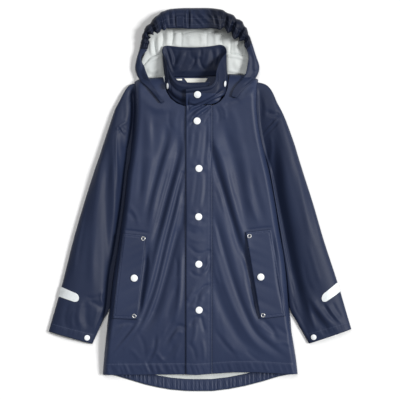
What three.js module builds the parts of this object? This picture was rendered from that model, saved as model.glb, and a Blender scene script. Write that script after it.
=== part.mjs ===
// Kids raincoat lying flat on a surface, front up, snapped shut, with its hood laid open behind the collar.
// Millimetres. +Z up, +Y towards the hood, +X to the right of someone looking down at the front.
import * as THREE from 'three';

// Driving sizes
const CLOTH = 1.5;
const SEAM_GAP = 0.35;
const ARMHOLE_GAP = 1;
const LIE = CLOTH + SEAM_GAP;
const SIDE_ROUND = 36;
const SHOULDER_ROUND = 44;
const PLACKET_LEFT = -28;
const PLACKET_RIGHT = 23.6;
const PLACKET_LIFT = 2.6;
const LEFT_FRONT_REACH = 6;
const PLACKET_TOP = 186.6;
const HEM_FACING_WIDE = 24;
const HEM_FACING_LEFT = -184;
const HEM_FACING_RIGHT = 185;
const PUCKERS = 20;
const PUCKER_HIGH = 0.8;
const SNAP_RADIUS = 7;
const CUFF_SNAP_RADIUS = 5.6;
const HOOD_SNAP_RADIUS = 6;
const RIVET_RADIUS = 4.6;
const FLAP_CLOTH = 2;
const FLAP_LIFT = 0.7;
const FLAP_STANDS_OFF = 1.6;
const TAPE_REACH = 41;
const TAPE_CLOTH = 1;
const TAPE_CLEAR = 1;
const TAPE_END_SHARE = 0.3;
const HOOD_TURN_UNDER = 11;
const FLAP_TURN_UNDER = 4;
const FRONT_COLUMNS = 22;
const FRONT_ROWS = 28;
const SLEEVE_RINGS = 20;
const SLEEVE_EDGE_HIGH = 3.6;
const SLEEVE_OUTER_ROUND = 0.34;
const SLEEVE_INNER_ROUND = 0.2;
const SLEEVE_INNER_DROP = 0.62;

const NAVY = 0x43506a;
const PALE = 0xd2d6d9;

const cloth = new THREE.MeshStandardMaterial({ color: NAVY, roughness: 0.42, metalness: 0 });
const paleCloth = new THREE.MeshStandardMaterial({ color: PALE, roughness: 0.7, metalness: 0 });
const snapPlastic = new THREE.MeshStandardMaterial({ color: 0xeef1f2, roughness: 0.3, metalness: 0 });
const rivetMetal = new THREE.MeshStandardMaterial({ color: 0xb9bcbf, roughness: 0.3, metalness: 1 });
const reflectiveTape = new THREE.MeshStandardMaterial({ color: 0xd3d9db, roughness: 0.35, metalness: 0.2 });

// Each table names its columns once; every row also knows its own number
function table(columns, rows) {
  const names = columns.split(' ');
  return rows.map((values, row) => {
    const named = names.map((name, k) => [name, values[k]]);
    return Object.fromEntries([['row', row], ...named]);
  });
}

// Body from hem to shoulder: both side edges, height of that edge above the back, height of the middle
const BODY = table('y left right edge crown', [
  [-352, -195.2, 196.2, 0, 12],
  [-326, -193.2, 193.4, 0, 17],
  [-300, -191, 189.6, 0, 21],
  [-260, -186.6, 183, 0, 24],
  [-216, -180, 177.6, 0, 26],
  [-162, -174.6, 173.4, 0, 27],
  [-110, -166, 167.4, 0, 27],
  [-62, -159, 158.6, 0, 27],
  [-10, -151.6, 150.6, 0, 27],
  [46, -145.6, 140.6, 0, 26],
  [82, -139.8, 132.2, 1, 26],
  [100, -136.8, 127.6, 4.5, 25],
  [130, -132.2, 120.4, 9, 25],
  [160, -129, 115.6, 11, 25],
  [188, -128, 113.2, 11, 25],
  [216, -129, 113.8, 10, 25],
  [246, -130.4, 115.4, 10, 25],
]);

// Front hem line and the shoulder line that the front and back share
const HEM = table('x y', [
  [-196, -350], [-110, -349.4], [-28, -348.6], [-8, -349.8],
  [66, -344.6], [114, -344.6], [170, -348], [197, -348.6],
]);
const SHOULDER = table('x y', [
  [-131, 236], [-121, 242], [-103, 244.6], [-72, 246.4],
  [58, 252.6], [90, 251.4], [112, 243], [116, 240],
]);

// Top edge of each front from the armhole along the shoulder and down round the neck
const LEFT_TOP = table('x y', [
  [-130, 236.6], [-121, 242], [-108, 244], [-92, 245.2], [-73, 246.2], [-70.6, 232], [-67, 216],
  [-59, 202.6], [-46, 192.6], [-30, 187], [-12, 186], [LEFT_FRONT_REACH, 186.4],
]);
const RIGHT_TOP = table('x y', [
  [115, 240.8], [108, 245.4], [97, 249.6], [80, 252], [60, 252.6], [57.4, 238], [54.6, 222],
  [49, 207], [41, 197.4], [32, 191.4], [PLACKET_RIGHT + SEAM_GAP, 188.4],
]);

// Tail of the back below the front hem
const TAIL = table('x y', [
  [-195.2, -348.6], [-176, -351], [-144, -360.4], [-109, -371], [-84, -376.6],
  [-58, -381], [-28, -383.6], [-10, -384], [25, -383.8], [57, -380],
  [91, -373.4], [125, -364.6], [158, -354.6], [177, -351], [196.2, -348.6],
]);

// Large folds of the fronts: where each starts, bends and ends, half its width, and its height, which
// is below 0 for a trough
const FRONT_FOLDS = table('x0 y0 x1 y1 x2 y2 wide high', [
  [-62, 110, -84, 20, -108, -66, 13, -5],
  [-40, 96, -60, 20, -82, -62, 13, 3.6],
  [-34, 84, -48, 0, -92, -150, 13, -5],
  [-44, -20, -64, -110, -112, -226, 13, 3.4],
  [-78, -100, -110, -262, -184, -318, 14, -6],
  [-124, 190, -118, 90, -112, 4, 20, 3.4],
  [-52, -150, -80, -270, -150, -322, 15, 3.4],
  [26, 96, 50, 10, 92, -90, 14, -6],
  [50, 110, 76, 20, 118, -64, 16, 3.6],
  [36, -84, 66, -220, 136, -322, 15, -5],
  [32, -40, 60, -150, 112, -256, 13, 4],
  [92, -190, 122, -268, 184, -322, 13, -4],
  [44, 190, 58, 110, 60, 30, 22, 3],
]);

// Large folds of the sleeves
const SLEEVE_FOLDS = table('x0 y0 x1 y1 x2 y2 wide high', [
  [-168, 134, -156, 142, -138, 158, 9, 3],
  [-196, 40, -204, -60, -232, -170, 20, 3],
  [-226, -206, -240, -228, -232, -256, 9, 3],
  [-160, 20, -178, -80, -196, -190, 18, -4],
  [122, 122, 138, 140, 156, 160, 9, -3.4],
  [188, 40, 206, -60, 232, -150, 20, 3],
  [160, 60, 176, -60, 212, -250, 16, -5],
  [244, -216, 262, -236, 282, -250, 11, 3.4],
]);

// Sleeve sections from armhole to cuff: outer and inner edge, height of the top, and how far the
// section follows the armhole seam instead of a straight line
const LEFT_SLEEVE = table('outX outY inX inY crown hug', [
  [-130.9, 234, -140.3, 83, 10, 1],
  [-166, 228, -141.6, 78, 15, 0.62],
  [-180.5, 192, -143.6, 68, 20, 0.3],
  [-183.3, 160, -146.6, 50, 22, 0.1],
  [-196, 106, -149.8, 16, 23, 0],
  [-212, 58, -154.4, -22, 23, 0],
  [-233, -8, -163, -82, 22, 0],
  [-254, -80, -172, -140, 21, 0],
  [-270, -144, -178.6, -190, 20, 0],
  [-280, -182, -182.4, -219, 19, 0],
  [-291, -220, -194.6, -242, 18, 0],
  [-303.5, -263, -215.8, -288.6, 15, 0],
]);
const RIGHT_SLEEVE = table('outX outY inX inY crown hug', [
  [116, 237, 132.8, 83, 10, 1],
  [168, 229, 134.4, 78, 15, 0.62],
  [174.5, 192, 136.8, 68, 20, 0.3],
  [178.2, 160, 140.8, 50, 22, 0.1],
  [191.5, 106, 146.8, 16, 23, 0],
  [206, 58, 153.4, -22, 23, 0],
  [227, -8, 163.2, -82, 22, 0],
  [248, -80, 172, -140, 21, 0],
  [269, -144, 177, -190, 20, 0],
  [281, -182, 180, -219, 19, 0],
  [292, -220, 192.6, -242, 18, 0],
  [303.5, -258.6, 218.6, -287.8, 15, 0],
]);

// Hood turned over at its outline: outline point, opening edge, height of the turned layer and of its free
// edge, and how deep the elastic gathers are; the first and last rows lie on the front of the shoulders
const HOOD = table('outX outY edgeX edgeY crown edge gather', [
  [-79, 193, -71.4, 197.4, 30, 31, 0],
  [-91, 209, -80.6, 206.6, 28, 31, 0],
  [-106, 226, -90, 223, 22, 28, 0],
  [-122, 242, -103, 245, 15, 22, 0],
  [-130, 263, -111, 265, 15, 18, 0],
  [-127, 283, -117.6, 285, 15, 16, 0],
  [-121.4, 303, -105, 301, 17, 17, 0],
  [-117, 322, -101.4, 320, 21, 20, 1],
  [-112, 340, -99, 330, 25, 24, 1],
  [-99, 355, -90, 333.4, 29, 28, 1],
  [-84, 371, -76, 337, 32, 31, 1],
  [-66, 380.4, -62, 341.4, 34, 33, 0.3],
  [-40, 383.6, -40, 342, 35, 33, 0],
  [-10, 384, -12, 340.6, 35, 33, 0],
  [20, 383.8, 18, 342, 35, 33, 0],
  [43, 380.6, 38, 340, 34, 33, 0.4],
  [59, 373, 51, 340, 33, 31, 1],
  [73, 364, 61, 332, 31, 28, 1],
  [87, 353, 73, 322, 28, 25, 1],
  [96, 336, 84, 318, 25, 22, 1],
  [104, 315, 93, 300, 21, 19, 0],
  [112, 290, 97, 287, 17, 18, 0],
  [119, 268, 94.4, 267, 16, 19, 0],
  [116, 252, 91, 252, 16, 21, 0],
  [108, 240, 83, 240, 17, 24, 0],
  [95, 228, 74, 231, 22, 29, 0],
  [83, 216, 66.4, 219, 27, 31, 0],
  [73, 203.4, 62.4, 206.4, 30, 31, 0],
]);
const HOOD_BRIM_START = 6;
const HOOD_BRIM_END = 20;
const SEAM_SHARE = 0.04;
const HOOD_BRIM_COLUMNS = 66;
const GATHERS_A_SECTION = 1.6;
const GATHER_DEEP = 2.6;
const TAB_FROM = 11.7;
const TAB_TO = 12.3;
const TAB_TOP_STEP = 5.3;
const TAB_LOW_STEP = 6.8;
const HOOD_BACK_FIRST = 3.9;
const HOOD_BACK_LAST = 22.6;
const HOOD_BACK_OFF_SHOULDER = 0.5;

// Stand collar round the neck, from its covered end at the front, round the left side, back and right side
// to its top end: seam point, top edge point, and how far the wall bulges between them
const COLLAR = table('seamX seamY seamZ topX topY topZ bulge', [
  [4, 188.4, 25.4, 20, 234.5, 39, 2],
  [-28, 188, 25.4, -22, 233.5, 40, 3],
  [-45.2, 195.2, 26, -41, 236, 40, 3],
  [-57.4, 204.8, 26, -50, 244, 38, 3],
  [-65, 218, 25, -58, 259, 34, 2],
  [-68.4, 232.6, 21, -66, 279, 27, 1],
  [-68, 247.4, 7, -76, 300, 12, 0],
  [-50, 247.4, 3.2, -68, 309, 6, 0],
  [-30, 247.4, 3.2, -38, 306.6, 6, 0],
  [-6, 247.8, 3.2, -8, 306, 6, 0],
  [18, 248.6, 3.2, 20, 308, 6, 0],
  [38, 250, 3.2, 44, 310.6, 6, 0],
  [53, 253.4, 7, 54, 299, 13, 0],
  [55.4, 240, 19, 41, 279, 26, 2],
  [52.6, 224, 25, 33, 258, 36, 4],
  [46.6, 208, 27, 30, 239, 42, 5],
  [33, 194.6, 28.4, 21, 227.4, 45, 5],
  [12, 189.6, 29, 2, 223.6, 46, 5],
  [-10, 188, 29.4, -14, 221.8, 46, 5],
  [PLACKET_LEFT, 187.6, 29.4, PLACKET_LEFT, 220, 45, 4],
]);

// Slanted pocket flaps: corners, clockwise from the top corner on the outer side
const POCKET_FLAPS = table('name ax ay bx by cx cy dx dy', [
  ['pocket_flap_left', -155, -66, -108, -70, -125, -238, -175, -236],
  ['pocket_flap_right', 142, -58, 91, -64, 120, -237, 171, -231],
]);

const PLACKET_SNAPS = table('name x y', [
  ['front_snap_2', -5.8, 157.4],
  ['front_snap_3', -2.2, 62.8],
  ['front_snap_4', -2.8, -33.4],
  ['front_snap_5', -2.6, -127.8],
  ['front_snap_6', -1.9, -219.2],
]);
const FLAP_SNAPS = table('name x y', [
  ['pocket_snap_left', -130.8, -155.4],
  ['pocket_snap_right', 121, -153.2],
]);
const FLAP_RIVETS = table('name x y', [
  ['rivet_left_top', -113, -77],
  ['rivet_left_bottom', -131, -231],
  ['rivet_right_top', 98, -72],
  ['rivet_right_bottom', 125.4, -229.6],
]);

// Snaps of the collar, by shares of the way round it and up it, and those of the cuffs, by shares of the
// way down the sleeve and across it
const COLLAR_SNAPS = table('name radius around up', [
  ['front_snap_1', SNAP_RADIUS, 0.925, 0.62],
  ['hood_snap_left', HOOD_SNAP_RADIUS, 0.2, 0.3],
  ['hood_snap_right', HOOD_SNAP_RADIUS, 0.735, 0.2],
]);
const CUFF_SNAP_DOWN = 0.983;
const CUFF_SNAP_ACROSS = 0.84;

const mix = (a, b, t) => a + (b - a) * t;
const clamp = (value, low, high) => Math.min(high, Math.max(low, value));
const eased = (low, high, value) => {
  const t = clamp((value - low) / (high - low), 0, 1);
  return t * t * (3 - 2 * t);
};
// Quarter round that stands upright at 0 and is level from 1 on
const rounded = (t) => Math.sqrt(1 - (1 - clamp(t, 0, 1)) ** 2);

// Smooth reading of one column of a table at a place along another column
function read(rows, column, place, along = 'row') {
  const last = rows.length - 1;
  const at = clamp(place, rows[0][along], rows[last][along]);
  let k = 0;
  while (k < last - 1 && at > rows[k + 1][along]) k += 1;
  const slope = (i) => {
    const before = rows[Math.max(i - 1, 0)];
    const after = rows[Math.min(i + 1, last)];
    return (after[column] - before[column]) / (after[along] - before[along]);
  };
  const span = rows[k + 1][along] - rows[k][along];
  const t = (at - rows[k][along]) / span;
  const [a, b] = [rows[k][column], rows[k + 1][column]];
  const [leave, arrive] = [slope(k) * span, slope(k + 1) * span];
  const square = 3 * (b - a) - 2 * leave - arrive;
  const cube = 2 * (a - b) + leave + arrive;
  return a + leave * t + square * t ** 2 + cube * t ** 3;
}

// Straight reading, for outlines with corners
function readStraight(rows, column, place, along = 'row') {
  const last = rows.length - 1;
  const at = clamp(place, rows[0][along], rows[last][along]);
  let k = 0;
  while (k < last - 1 && at > rows[k + 1][along]) k += 1;
  const span = rows[k + 1][along] - rows[k][along];
  return mix(rows[k][column], rows[k + 1][column], (at - rows[k][along]) / span);
}

// Height that a table of folds adds at a place: a soft bell across each fold, fading out at its ends
const FOLD_STEPS = 14;
function foldHeight(folds, x, y) {
  let height = 0;
  for (const fold of folds) {
    let nearest = Infinity;
    let where = 0;
    for (let k = 0; k <= FOLD_STEPS; k += 1) {
      const t = k / FOLD_STEPS;
      const fx = (1 - t) ** 2 * fold.x0 + 2 * t * (1 - t) * fold.x1 + t ** 2 * fold.x2;
      const fy = (1 - t) ** 2 * fold.y0 + 2 * t * (1 - t) * fold.y1 + t ** 2 * fold.y2;
      const away = Math.hypot(x - fx, y - fy);
      if (away < nearest) [nearest, where] = [away, t];
    }
    const fade = Math.min(1, 0.25 + 3 * Math.min(where, 1 - where));
    height += fold.high * fade * Math.exp(-((nearest / fold.wide) ** 2));
  }
  return height;
}

// Height of the outside of the closed fronts at any place of the body
function frontHeight(x, y) {
  const left = read(BODY, 'left', y, 'y');
  const right = read(BODY, 'right', y, 'y');
  const edge = read(BODY, 'edge', y, 'y');
  const crown = read(BODY, 'crown', y, 'y');
  const fromSide = Math.max(0, Math.min(x - left, right - x));
  const fromShoulder = readStraight(SHOULDER, 'y', x, 'x') - y;
  const side = rounded(fromSide / SIDE_ROUND);
  const shoulder = rounded(fromShoulder / SHOULDER_ROUND);
  const folds = foldHeight(FRONT_FOLDS, x, y) * eased(4, 40, fromSide) * eased(0, 30, fromShoulder);
  return LIE + CLOTH + (edge + (crown - edge) * side) * shoulder + folds;
}
const placketLift = (x) => PLACKET_LIFT * (1 - eased(9, 22, x));
const placketHeight = (x, y) => frontHeight(x, y) + placketLift(x);

// Upward normal of a height function
function normalOf(height, x, y, step = 2) {
  const dx = (height(x + step, y) - height(x - step, y)) / (2 * step);
  const dy = (height(x, y + step) - height(x, y - step)) / (2 * step);
  return new THREE.Vector3(-dx, -dy, 1).normalize();
}

// Closed body between two grids of points with the same rows; a ring closes on itself along each row
function between(outer, inner, ring = false) {
  const rows = outer.length;
  const across = outer[0].length;
  const cells = ring ? across : across - 1;
  const positions = [...outer.flat(), ...inner.flat()].flatMap((p) => [p.x, p.y, p.z]);
  const at = (layer, r, c) => (layer * rows + r) * across + (c % across);
  const faces = [];
  const quad = (a, b, c, d) => faces.push(a, b, c, a, c, d);
  for (let r = 0; r < rows - 1; r += 1) {
    for (let c = 0; c < cells; c += 1) {
      quad(at(0, r, c), at(0, r, c + 1), at(0, r + 1, c + 1), at(0, r + 1, c));
      quad(at(1, r, c), at(1, r + 1, c), at(1, r + 1, c + 1), at(1, r, c + 1));
    }
    if (!ring) {
      quad(at(0, r, 0), at(0, r + 1, 0), at(1, r + 1, 0), at(1, r, 0));
      quad(at(0, r, cells), at(1, r, cells), at(1, r + 1, cells), at(0, r + 1, cells));
    }
  }
  for (let c = 0; c < cells; c += 1) {
    quad(at(0, 0, c), at(1, 0, c), at(1, 0, c + 1), at(0, 0, c + 1));
    quad(at(0, rows - 1, c), at(0, rows - 1, c + 1), at(1, rows - 1, c + 1), at(1, rows - 1, c));
  }
  let volume = 0;
  const corner = (k) => new THREE.Vector3().fromArray(positions, faces[k] * 3);
  for (let k = 0; k < faces.length; k += 3) volume += corner(k).dot(corner(k + 1).cross(corner(k + 2)));
  if (volume < 0) faces.reverse();
  const geometry = new THREE.BufferGeometry();
  geometry.setAttribute('position', new THREE.Float32BufferAttribute(positions, 3));
  geometry.setIndex(faces);
  geometry.computeVertexNormals();
  return geometry;
}

// Grid of points moved along its own normals
function movedOut(grid, distance, ring = false) {
  const rows = grid.length;
  const across = grid[0].length;
  const column = (c) => (ring ? (c + across) % across : clamp(c, 0, across - 1));
  return grid.map((line, r) => line.map((point, c) => {
    const along = grid[Math.min(r + 1, rows - 1)][c].clone().sub(grid[Math.max(r - 1, 0)][c]);
    const sideways = line[column(c + 1)].clone().sub(line[column(c - 1)]);
    return point.clone().addScaledVector(sideways.cross(along).normalize(), distance);
  }));
}

const group = new THREE.Group();
function add(name, geometry, material) {
  const mesh = new THREE.Mesh(geometry, material);
  mesh.name = name;
  group.add(mesh);
  return mesh;
}

function grid(rows, columns, point) {
  return Array.from({ length: rows + 1 }, (_, r) => (
    Array.from({ length: columns + 1 }, (__, c) => point(c / columns, r / rows))
  ));
}

// Flat piece of cloth cut to an outline
function flatPiece(points, bottom, thick) {
  const shape = new THREE.Shape(points.map(([x, y]) => new THREE.Vector2(x, y)));
  const geometry = new THREE.ExtrudeGeometry(shape, { depth: thick, bevelEnabled: false, curveSegments: 1 });
  return geometry.translate(0, 0, bottom);
}

// Back: the whole outline of the body, flat on the surface
function backPanel() {
  const sides = BODY.slice(1, -2);
  const leftSide = sides.map((row) => [row.left, row.y]);
  const rightSide = sides.map((row) => [row.right, row.y]).reverse();
  const shoulders = [...SHOULDER].map((row) => [row.x, row.y]);
  shoulders[0] = [-129.4, 236.6];
  shoulders[shoulders.length - 1] = [114.4, 240.6];
  const tail = [...TAIL].reverse().map((row) => [row.x, row.y]);
  return flatPiece([...leftSide, [-129, 216], ...shoulders, [113.8, 216], ...rightSide, ...tail], 0, CLOTH);
}

// Hem of the back turned up inside, narrower at its ends, with its small puckers
const HEM_EDGE_IN = 1.2;
function hemFacing() {
  const point = (height) => (across, up) => {
    const x = mix(HEM_FACING_LEFT, HEM_FACING_RIGHT, across);
    const narrow = rounded(Math.min(across, 1 - across) * 6);
    const wide = HEM_FACING_WIDE * mix(0.5, 1, narrow);
    const y = readStraight(TAIL, 'y', x, 'x') + HEM_EDGE_IN + up * wide;
    const wave = 1 + Math.sin(across * PUCKERS * 2 * Math.PI);
    const pucker = PUCKER_HIGH * wave * Math.sin(Math.PI * mix(0.2, 1, up));
    return new THREE.Vector3(x, y, LIE + height * (CLOTH + pucker));
  };
  return between(grid(2, PUCKERS * 3, point(1)), grid(2, PUCKERS * 3, point(0)));
}

// One front, from its side edge to its centre edge and from hem to shoulder and neck; its columns lie
// closer together near the side, where it curves down
const SIDE_CROWDING = 1.7;
const SIDE_CROWDED = 1.5;
function frontPanel(side, top, centre, height) {
  const last = top.length - 1;
  const point = (across, up) => {
    const share = mix(across ** SIDE_CROWDING, across, clamp(across * SIDE_CROWDED, 0, 1));
    const x0 = mix(read(BODY, side, BODY[0].y, 'y'), centre, share);
    const topX = readStraight(top, 'x', across * last);
    const topY = readStraight(top, 'y', across * last);
    const y = mix(readStraight(HEM, 'y', x0, 'x'), topY, up);
    const edge = read(BODY, side, y, 'y');
    const topShare = (topX - read(BODY, side, topY, 'y')) / (centre - read(BODY, side, topY, 'y'));
    const x = mix(edge, centre, mix(share, topShare, eased(0.5, 1, up)));
    return new THREE.Vector3(x, y, height(x, y));
  };
  const outside = grid(FRONT_ROWS, FRONT_COLUMNS, point);
  const inward = side === 'left' ? -CLOTH : CLOTH;
  const inside = movedOut(outside, inward);
  for (const inner of inside.flat()) inner.z = Math.max(inner.z, LIE);
  return between(outside, inside);
}

// Placket: the strip of the right front that closes over the left one
function placket() {
  const point = (across, up) => {
    const x = mix(PLACKET_LEFT, PLACKET_RIGHT, across);
    const y = mix(readStraight(HEM, 'y', x, 'x'), PLACKET_TOP, up);
    return new THREE.Vector3(x, y, placketHeight(x, y));
  };
  const outside = grid(FRONT_ROWS, 5, point);
  return between(outside, movedOut(outside, -CLOTH));
}

// Point on the top of a sleeve: along runs from armhole to cuff, across from outer to inner edge
function sleeveTop(rows, side, along, across) {
  const at = (column) => read(rows, column, along * (rows.length - 1));
  const hug = clamp(at('hug'), 0, 1);
  const y = mix(at('outY'), at('inY'), across);
  const straight = mix(at('outX'), at('inX'), across);
  const away = side === 'left' ? -ARMHOLE_GAP : ARMHOLE_GAP;
  const seam = read(BODY, side, y, 'y') + away;
  const wanted = mix(straight, seam, hug);
  const x = side === 'left' ? Math.min(wanted, seam) : Math.max(wanted, seam);
  const round = rounded(across / SLEEVE_OUTER_ROUND) * rounded((1 - across) / SLEEVE_INNER_ROUND);
  const lean = mix(1, SLEEVE_INNER_DROP, eased(0.45, 0.95, across));
  const crown = SLEEVE_EDGE_HIGH + (at('crown') - SLEEVE_EDGE_HIGH) * round * lean;
  const fromShoulder = readStraight(SHOULDER, 'y', x, 'x') - y;
  const seamHigh = LIE + read(BODY, 'edge', y, 'y') * rounded(fromShoulder / SHOULDER_ROUND);
  const fromEdge = Math.min(across, 1 - across);
  const folds = foldHeight(SLEEVE_FOLDS, x, y) * (1 - hug) * eased(0, 0.2, fromEdge);
  const z = mix(crown, Math.max(seamHigh, SLEEVE_EDGE_HIGH), hug) + folds;
  return new THREE.Vector3(x, y, z);
}

// One sleeve: a flattened tube, open at the armhole and at the cuff
const TOP_SHARES = [0, 0.02, 0.07, 0.16, 0.28, 0.42, 0.56, 0.7, 0.83, 0.93, 0.985, 1];
const UNDER_SHARES = [0.975, 0.7, 0.35, 0.025];
function sleeve(rows, side) {
  const outside = Array.from({ length: SLEEVE_RINGS + 1 }, (_, r) => {
    const along = r / SLEEVE_RINGS;
    const over = TOP_SHARES.map((share) => sleeveTop(rows, side, along, share));
    const under = UNDER_SHARES.map((share) => sleeveTop(rows, side, along, share).setZ(0));
    return [...over, ...under];
  });
  const inward = side === 'left' ? CLOTH : -CLOTH;
  return between(outside, movedOut(outside, inward, true), true);
}

// Section of the hood at one place round its outline, from the edge turned under to the opening edge
const HOOD_SECTION = table('turn out lift', [
  [1, 0, 0], [0.3, 0, 0], [0.06, 0, 0.14], [0, 0, 0.45],
  [0, 0.1, 0.82], [0, 0.34, 1], [0, 0.68, 1], [0, 1, 1],
]);
function hoodPoint(place, step) {
  const at = (column) => read(HOOD, column, place);
  const [outX, outY, edgeX, edgeY] = ['outX', 'outY', 'edgeX', 'edgeY'].map(at);
  const inward = new THREE.Vector2(edgeX - outX, edgeY - outY);
  const section = (column) => readStraight(HOOD_SECTION, column, step);
  const [turned, out, lift] = ['turn', 'out', 'lift'].map(section);
  const shoulder = readStraight(SHOULDER, 'y', (outX + edgeX) / 2, 'x');
  const onShoulder = eased(12, 3, Math.min(outY, edgeY) - shoulder);
  const turn = mix(HOOD_TURN_UNDER, FLAP_TURN_UNDER, onShoulder) * turned;
  const across = turn / inward.length() + out;
  const x = outX + inward.x * across;
  const y = outY + inward.y * across;
  const floor = onShoulder * (Math.max(frontHeight(x, y), frontHeight(outX, outY)) + LIE + 1);
  const wave = Math.sin(place * GATHERS_A_SECTION * 2 * Math.PI);
  const gather = at('gather') * GATHER_DEEP * wave;
  const top = mix(at('crown'), at('edge'), eased(0.3, 1, out)) + gather * 0.8;
  const z = mix(floor, Math.max(top, floor + 2.4), lift);
  const ruffle = gather * out / inward.length();
  return new THREE.Vector3(x + inward.x * ruffle, y + inward.y * ruffle, z);
}
function hoodPiece(from, to, columns) {
  const outside = Array.from({ length: columns + 1 }, (_, c) => (
    HOOD_SECTION.map((__, step) => hoodPoint(mix(from, to, c / columns), step))
  ));
  return between(outside, movedOut(outside, -CLOTH));
}

// Back of the hood, pale side up, inside the turned edge
function hoodBack() {
  const outline = [];
  const inset = HOOD_TURN_UNDER + SEAM_GAP;
  for (let place = HOOD_BACK_FIRST; place <= HOOD_BACK_LAST; place += 0.5) {
    const out = new THREE.Vector2(read(HOOD, 'outX', place), read(HOOD, 'outY', place));
    const edge = new THREE.Vector2(read(HOOD, 'edgeX', place), read(HOOD, 'edgeY', place));
    const inward = edge.sub(out).normalize();
    outline.push([out.x + inward.x * inset, out.y + inward.y * inset]);
  }
  const neck = SHOULDER.slice(2, -2).reverse();
  const below = neck.map((row) => [row.x, row.y + HOOD_BACK_OFF_SHOULDER]);
  return flatPiece([...outline, ...below], 0, CLOTH);
}

// Stand collar round the neck
function collarPoint(around, up) {
  const at = (column) => read(COLLAR, column, around * (COLLAR.length - 1));
  const swell = at('bulge') * Math.sin(Math.PI * up);
  const x = mix(at('seamX'), at('topX'), up);
  const y = mix(at('seamY'), at('topY'), up);
  return new THREE.Vector3(x, y, mix(at('seamZ'), at('topZ'), up) + swell);
}
function collar() {
  const middle = grid(4, 38, collarPoint);
  return between(movedOut(middle, CLOTH / 2), movedOut(middle, -CLOTH / 2));
}

// Piece that lies on a surface: four corners, following the surface at a small gap
function laidPiece(corners, height, columns, rows, thick, lift = () => 0) {
  const [a, b, c, d] = corners;
  const layer = (raised) => (across, down) => {
    const x = mix(mix(a[0], b[0], across), mix(d[0], c[0], across), down);
    const y = mix(mix(a[1], b[1], across), mix(d[1], c[1], across), down);
    const normal = normalOf(height, x, y);
    const out = SEAM_GAP + lift(across, down) + raised;
    return new THREE.Vector3(x, y, height(x, y)).addScaledVector(normal, out);
  };
  return between(grid(rows, columns, layer(thick)), grid(rows, columns, layer(0)));
}

// Round cap of a snap or rivet, standing on a point along a direction
function cap(name, profile, radius, seat, normal, material) {
  const geometry = new THREE.LatheGeometry(profile.map(([r, z]) => new THREE.Vector2(r * radius, z)), 12);
  geometry.rotateX(Math.PI / 2);
  const mesh = add(name, geometry, material);
  mesh.position.copy(seat);
  mesh.quaternion.setFromUnitVectors(new THREE.Vector3(0, 0, 1), normal);
}

// Cap seated on a height function, clear of the cloth all round its rim
function capOn({ name, x, y }, profile, radius, height, material) {
  const normal = normalOf(height, x, y, radius * 0.8);
  const centre = new THREE.Vector3(x, y, height(x, y));
  let clear = 0;
  for (let k = 0; k < 12; k += 1) {
    for (const reach of [0.5, 1]) {
      const px = x + radius * reach * Math.cos(k * Math.PI / 6);
      const py = y + radius * reach * Math.sin(k * Math.PI / 6);
      const rise = new THREE.Vector3(px, py, height(px, py)).sub(centre).dot(normal);
      clear = Math.max(clear, rise);
    }
  }
  cap(name, profile, radius, centre.addScaledVector(normal, clear + SEAM_GAP), normal, material);
}

// Cap on any surface given by two shares, on the side that faces away from an inside point, lifted
// until it is clear of the surface all round its rim
function capAt(name, radius, surface, [u, v], halfWall, inside, material) {
  const step = 0.004;
  const along = surface(u + step, v).sub(surface(u - step, v)).multiplyScalar(0.5 / step);
  const across = surface(u, v + step).sub(surface(u, v - step)).multiplyScalar(0.5 / step);
  const seat = surface(u, v);
  const normal = along.clone().cross(across).normalize();
  if (normal.dot(seat.clone().sub(inside)) < 0) normal.negate();
  let clear = 0;
  for (let k = 0; k < 16; k += 1) {
    const turn = k * Math.PI / 8;
    const rimU = u + radius * Math.cos(turn) / along.length();
    const rimV = v + radius * Math.sin(turn) / across.length();
    clear = Math.max(clear, surface(clamp(rimU, 0, 1), clamp(rimV, 0, 1)).sub(seat).dot(normal));
  }
  seat.addScaledVector(normal, halfWall + SEAM_GAP + clear);
  cap(name, SNAP_PROFILE, radius, seat, normal, material);
}
const SNAP_PROFILE = [[0, 0], [1, 0], [1, 1.2], [0.7, 2.2], [0, 2.5]];
const RIVET_PROFILE = [[0, 0], [1, 0], [0.94, 1], [0.7, 1.5], [0.42, 0.8], [0, 0.8]];

// Reflective tape laid round the outer edge of a sleeve, from one height of that edge to another, with a
// half round end
const TAPE_END_ROUND = 4.2;
function tape(rows, side, firstOut, lastOut, slant) {
  const placeOf = (y) => {
    let place = 0;
    while (place < 1 && read(rows, 'outY', place * (rows.length - 1)) > y) place += 0.002;
    return place;
  };
  const layer = (out) => {
    const points = grid(4, 12, (reach, wide) => {
      const round = mix(TAPE_END_SHARE, 1, rounded((1 - reach) * TAPE_END_ROUND));
      const half = mix(0.5 - round / 2, 0.5 + round / 2, wide);
      const along = placeOf(mix(firstOut, lastOut, half) - slant * reach);
      const at = along * (rows.length - 1);
      const [outX, outY, inX, inY] = ['outX', 'outY', 'inX', 'inY'].map((column) => read(rows, column, at));
      const across = Math.hypot(outX - inX, outY - inY);
      return sleeveTop(rows, side, along, reach * TAPE_REACH / across);
    });
    return movedOut(points, side === 'left' ? -out : out);
  };
  return between(layer(TAPE_CLEAR + TAPE_CLOTH), layer(TAPE_CLEAR));
}

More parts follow.
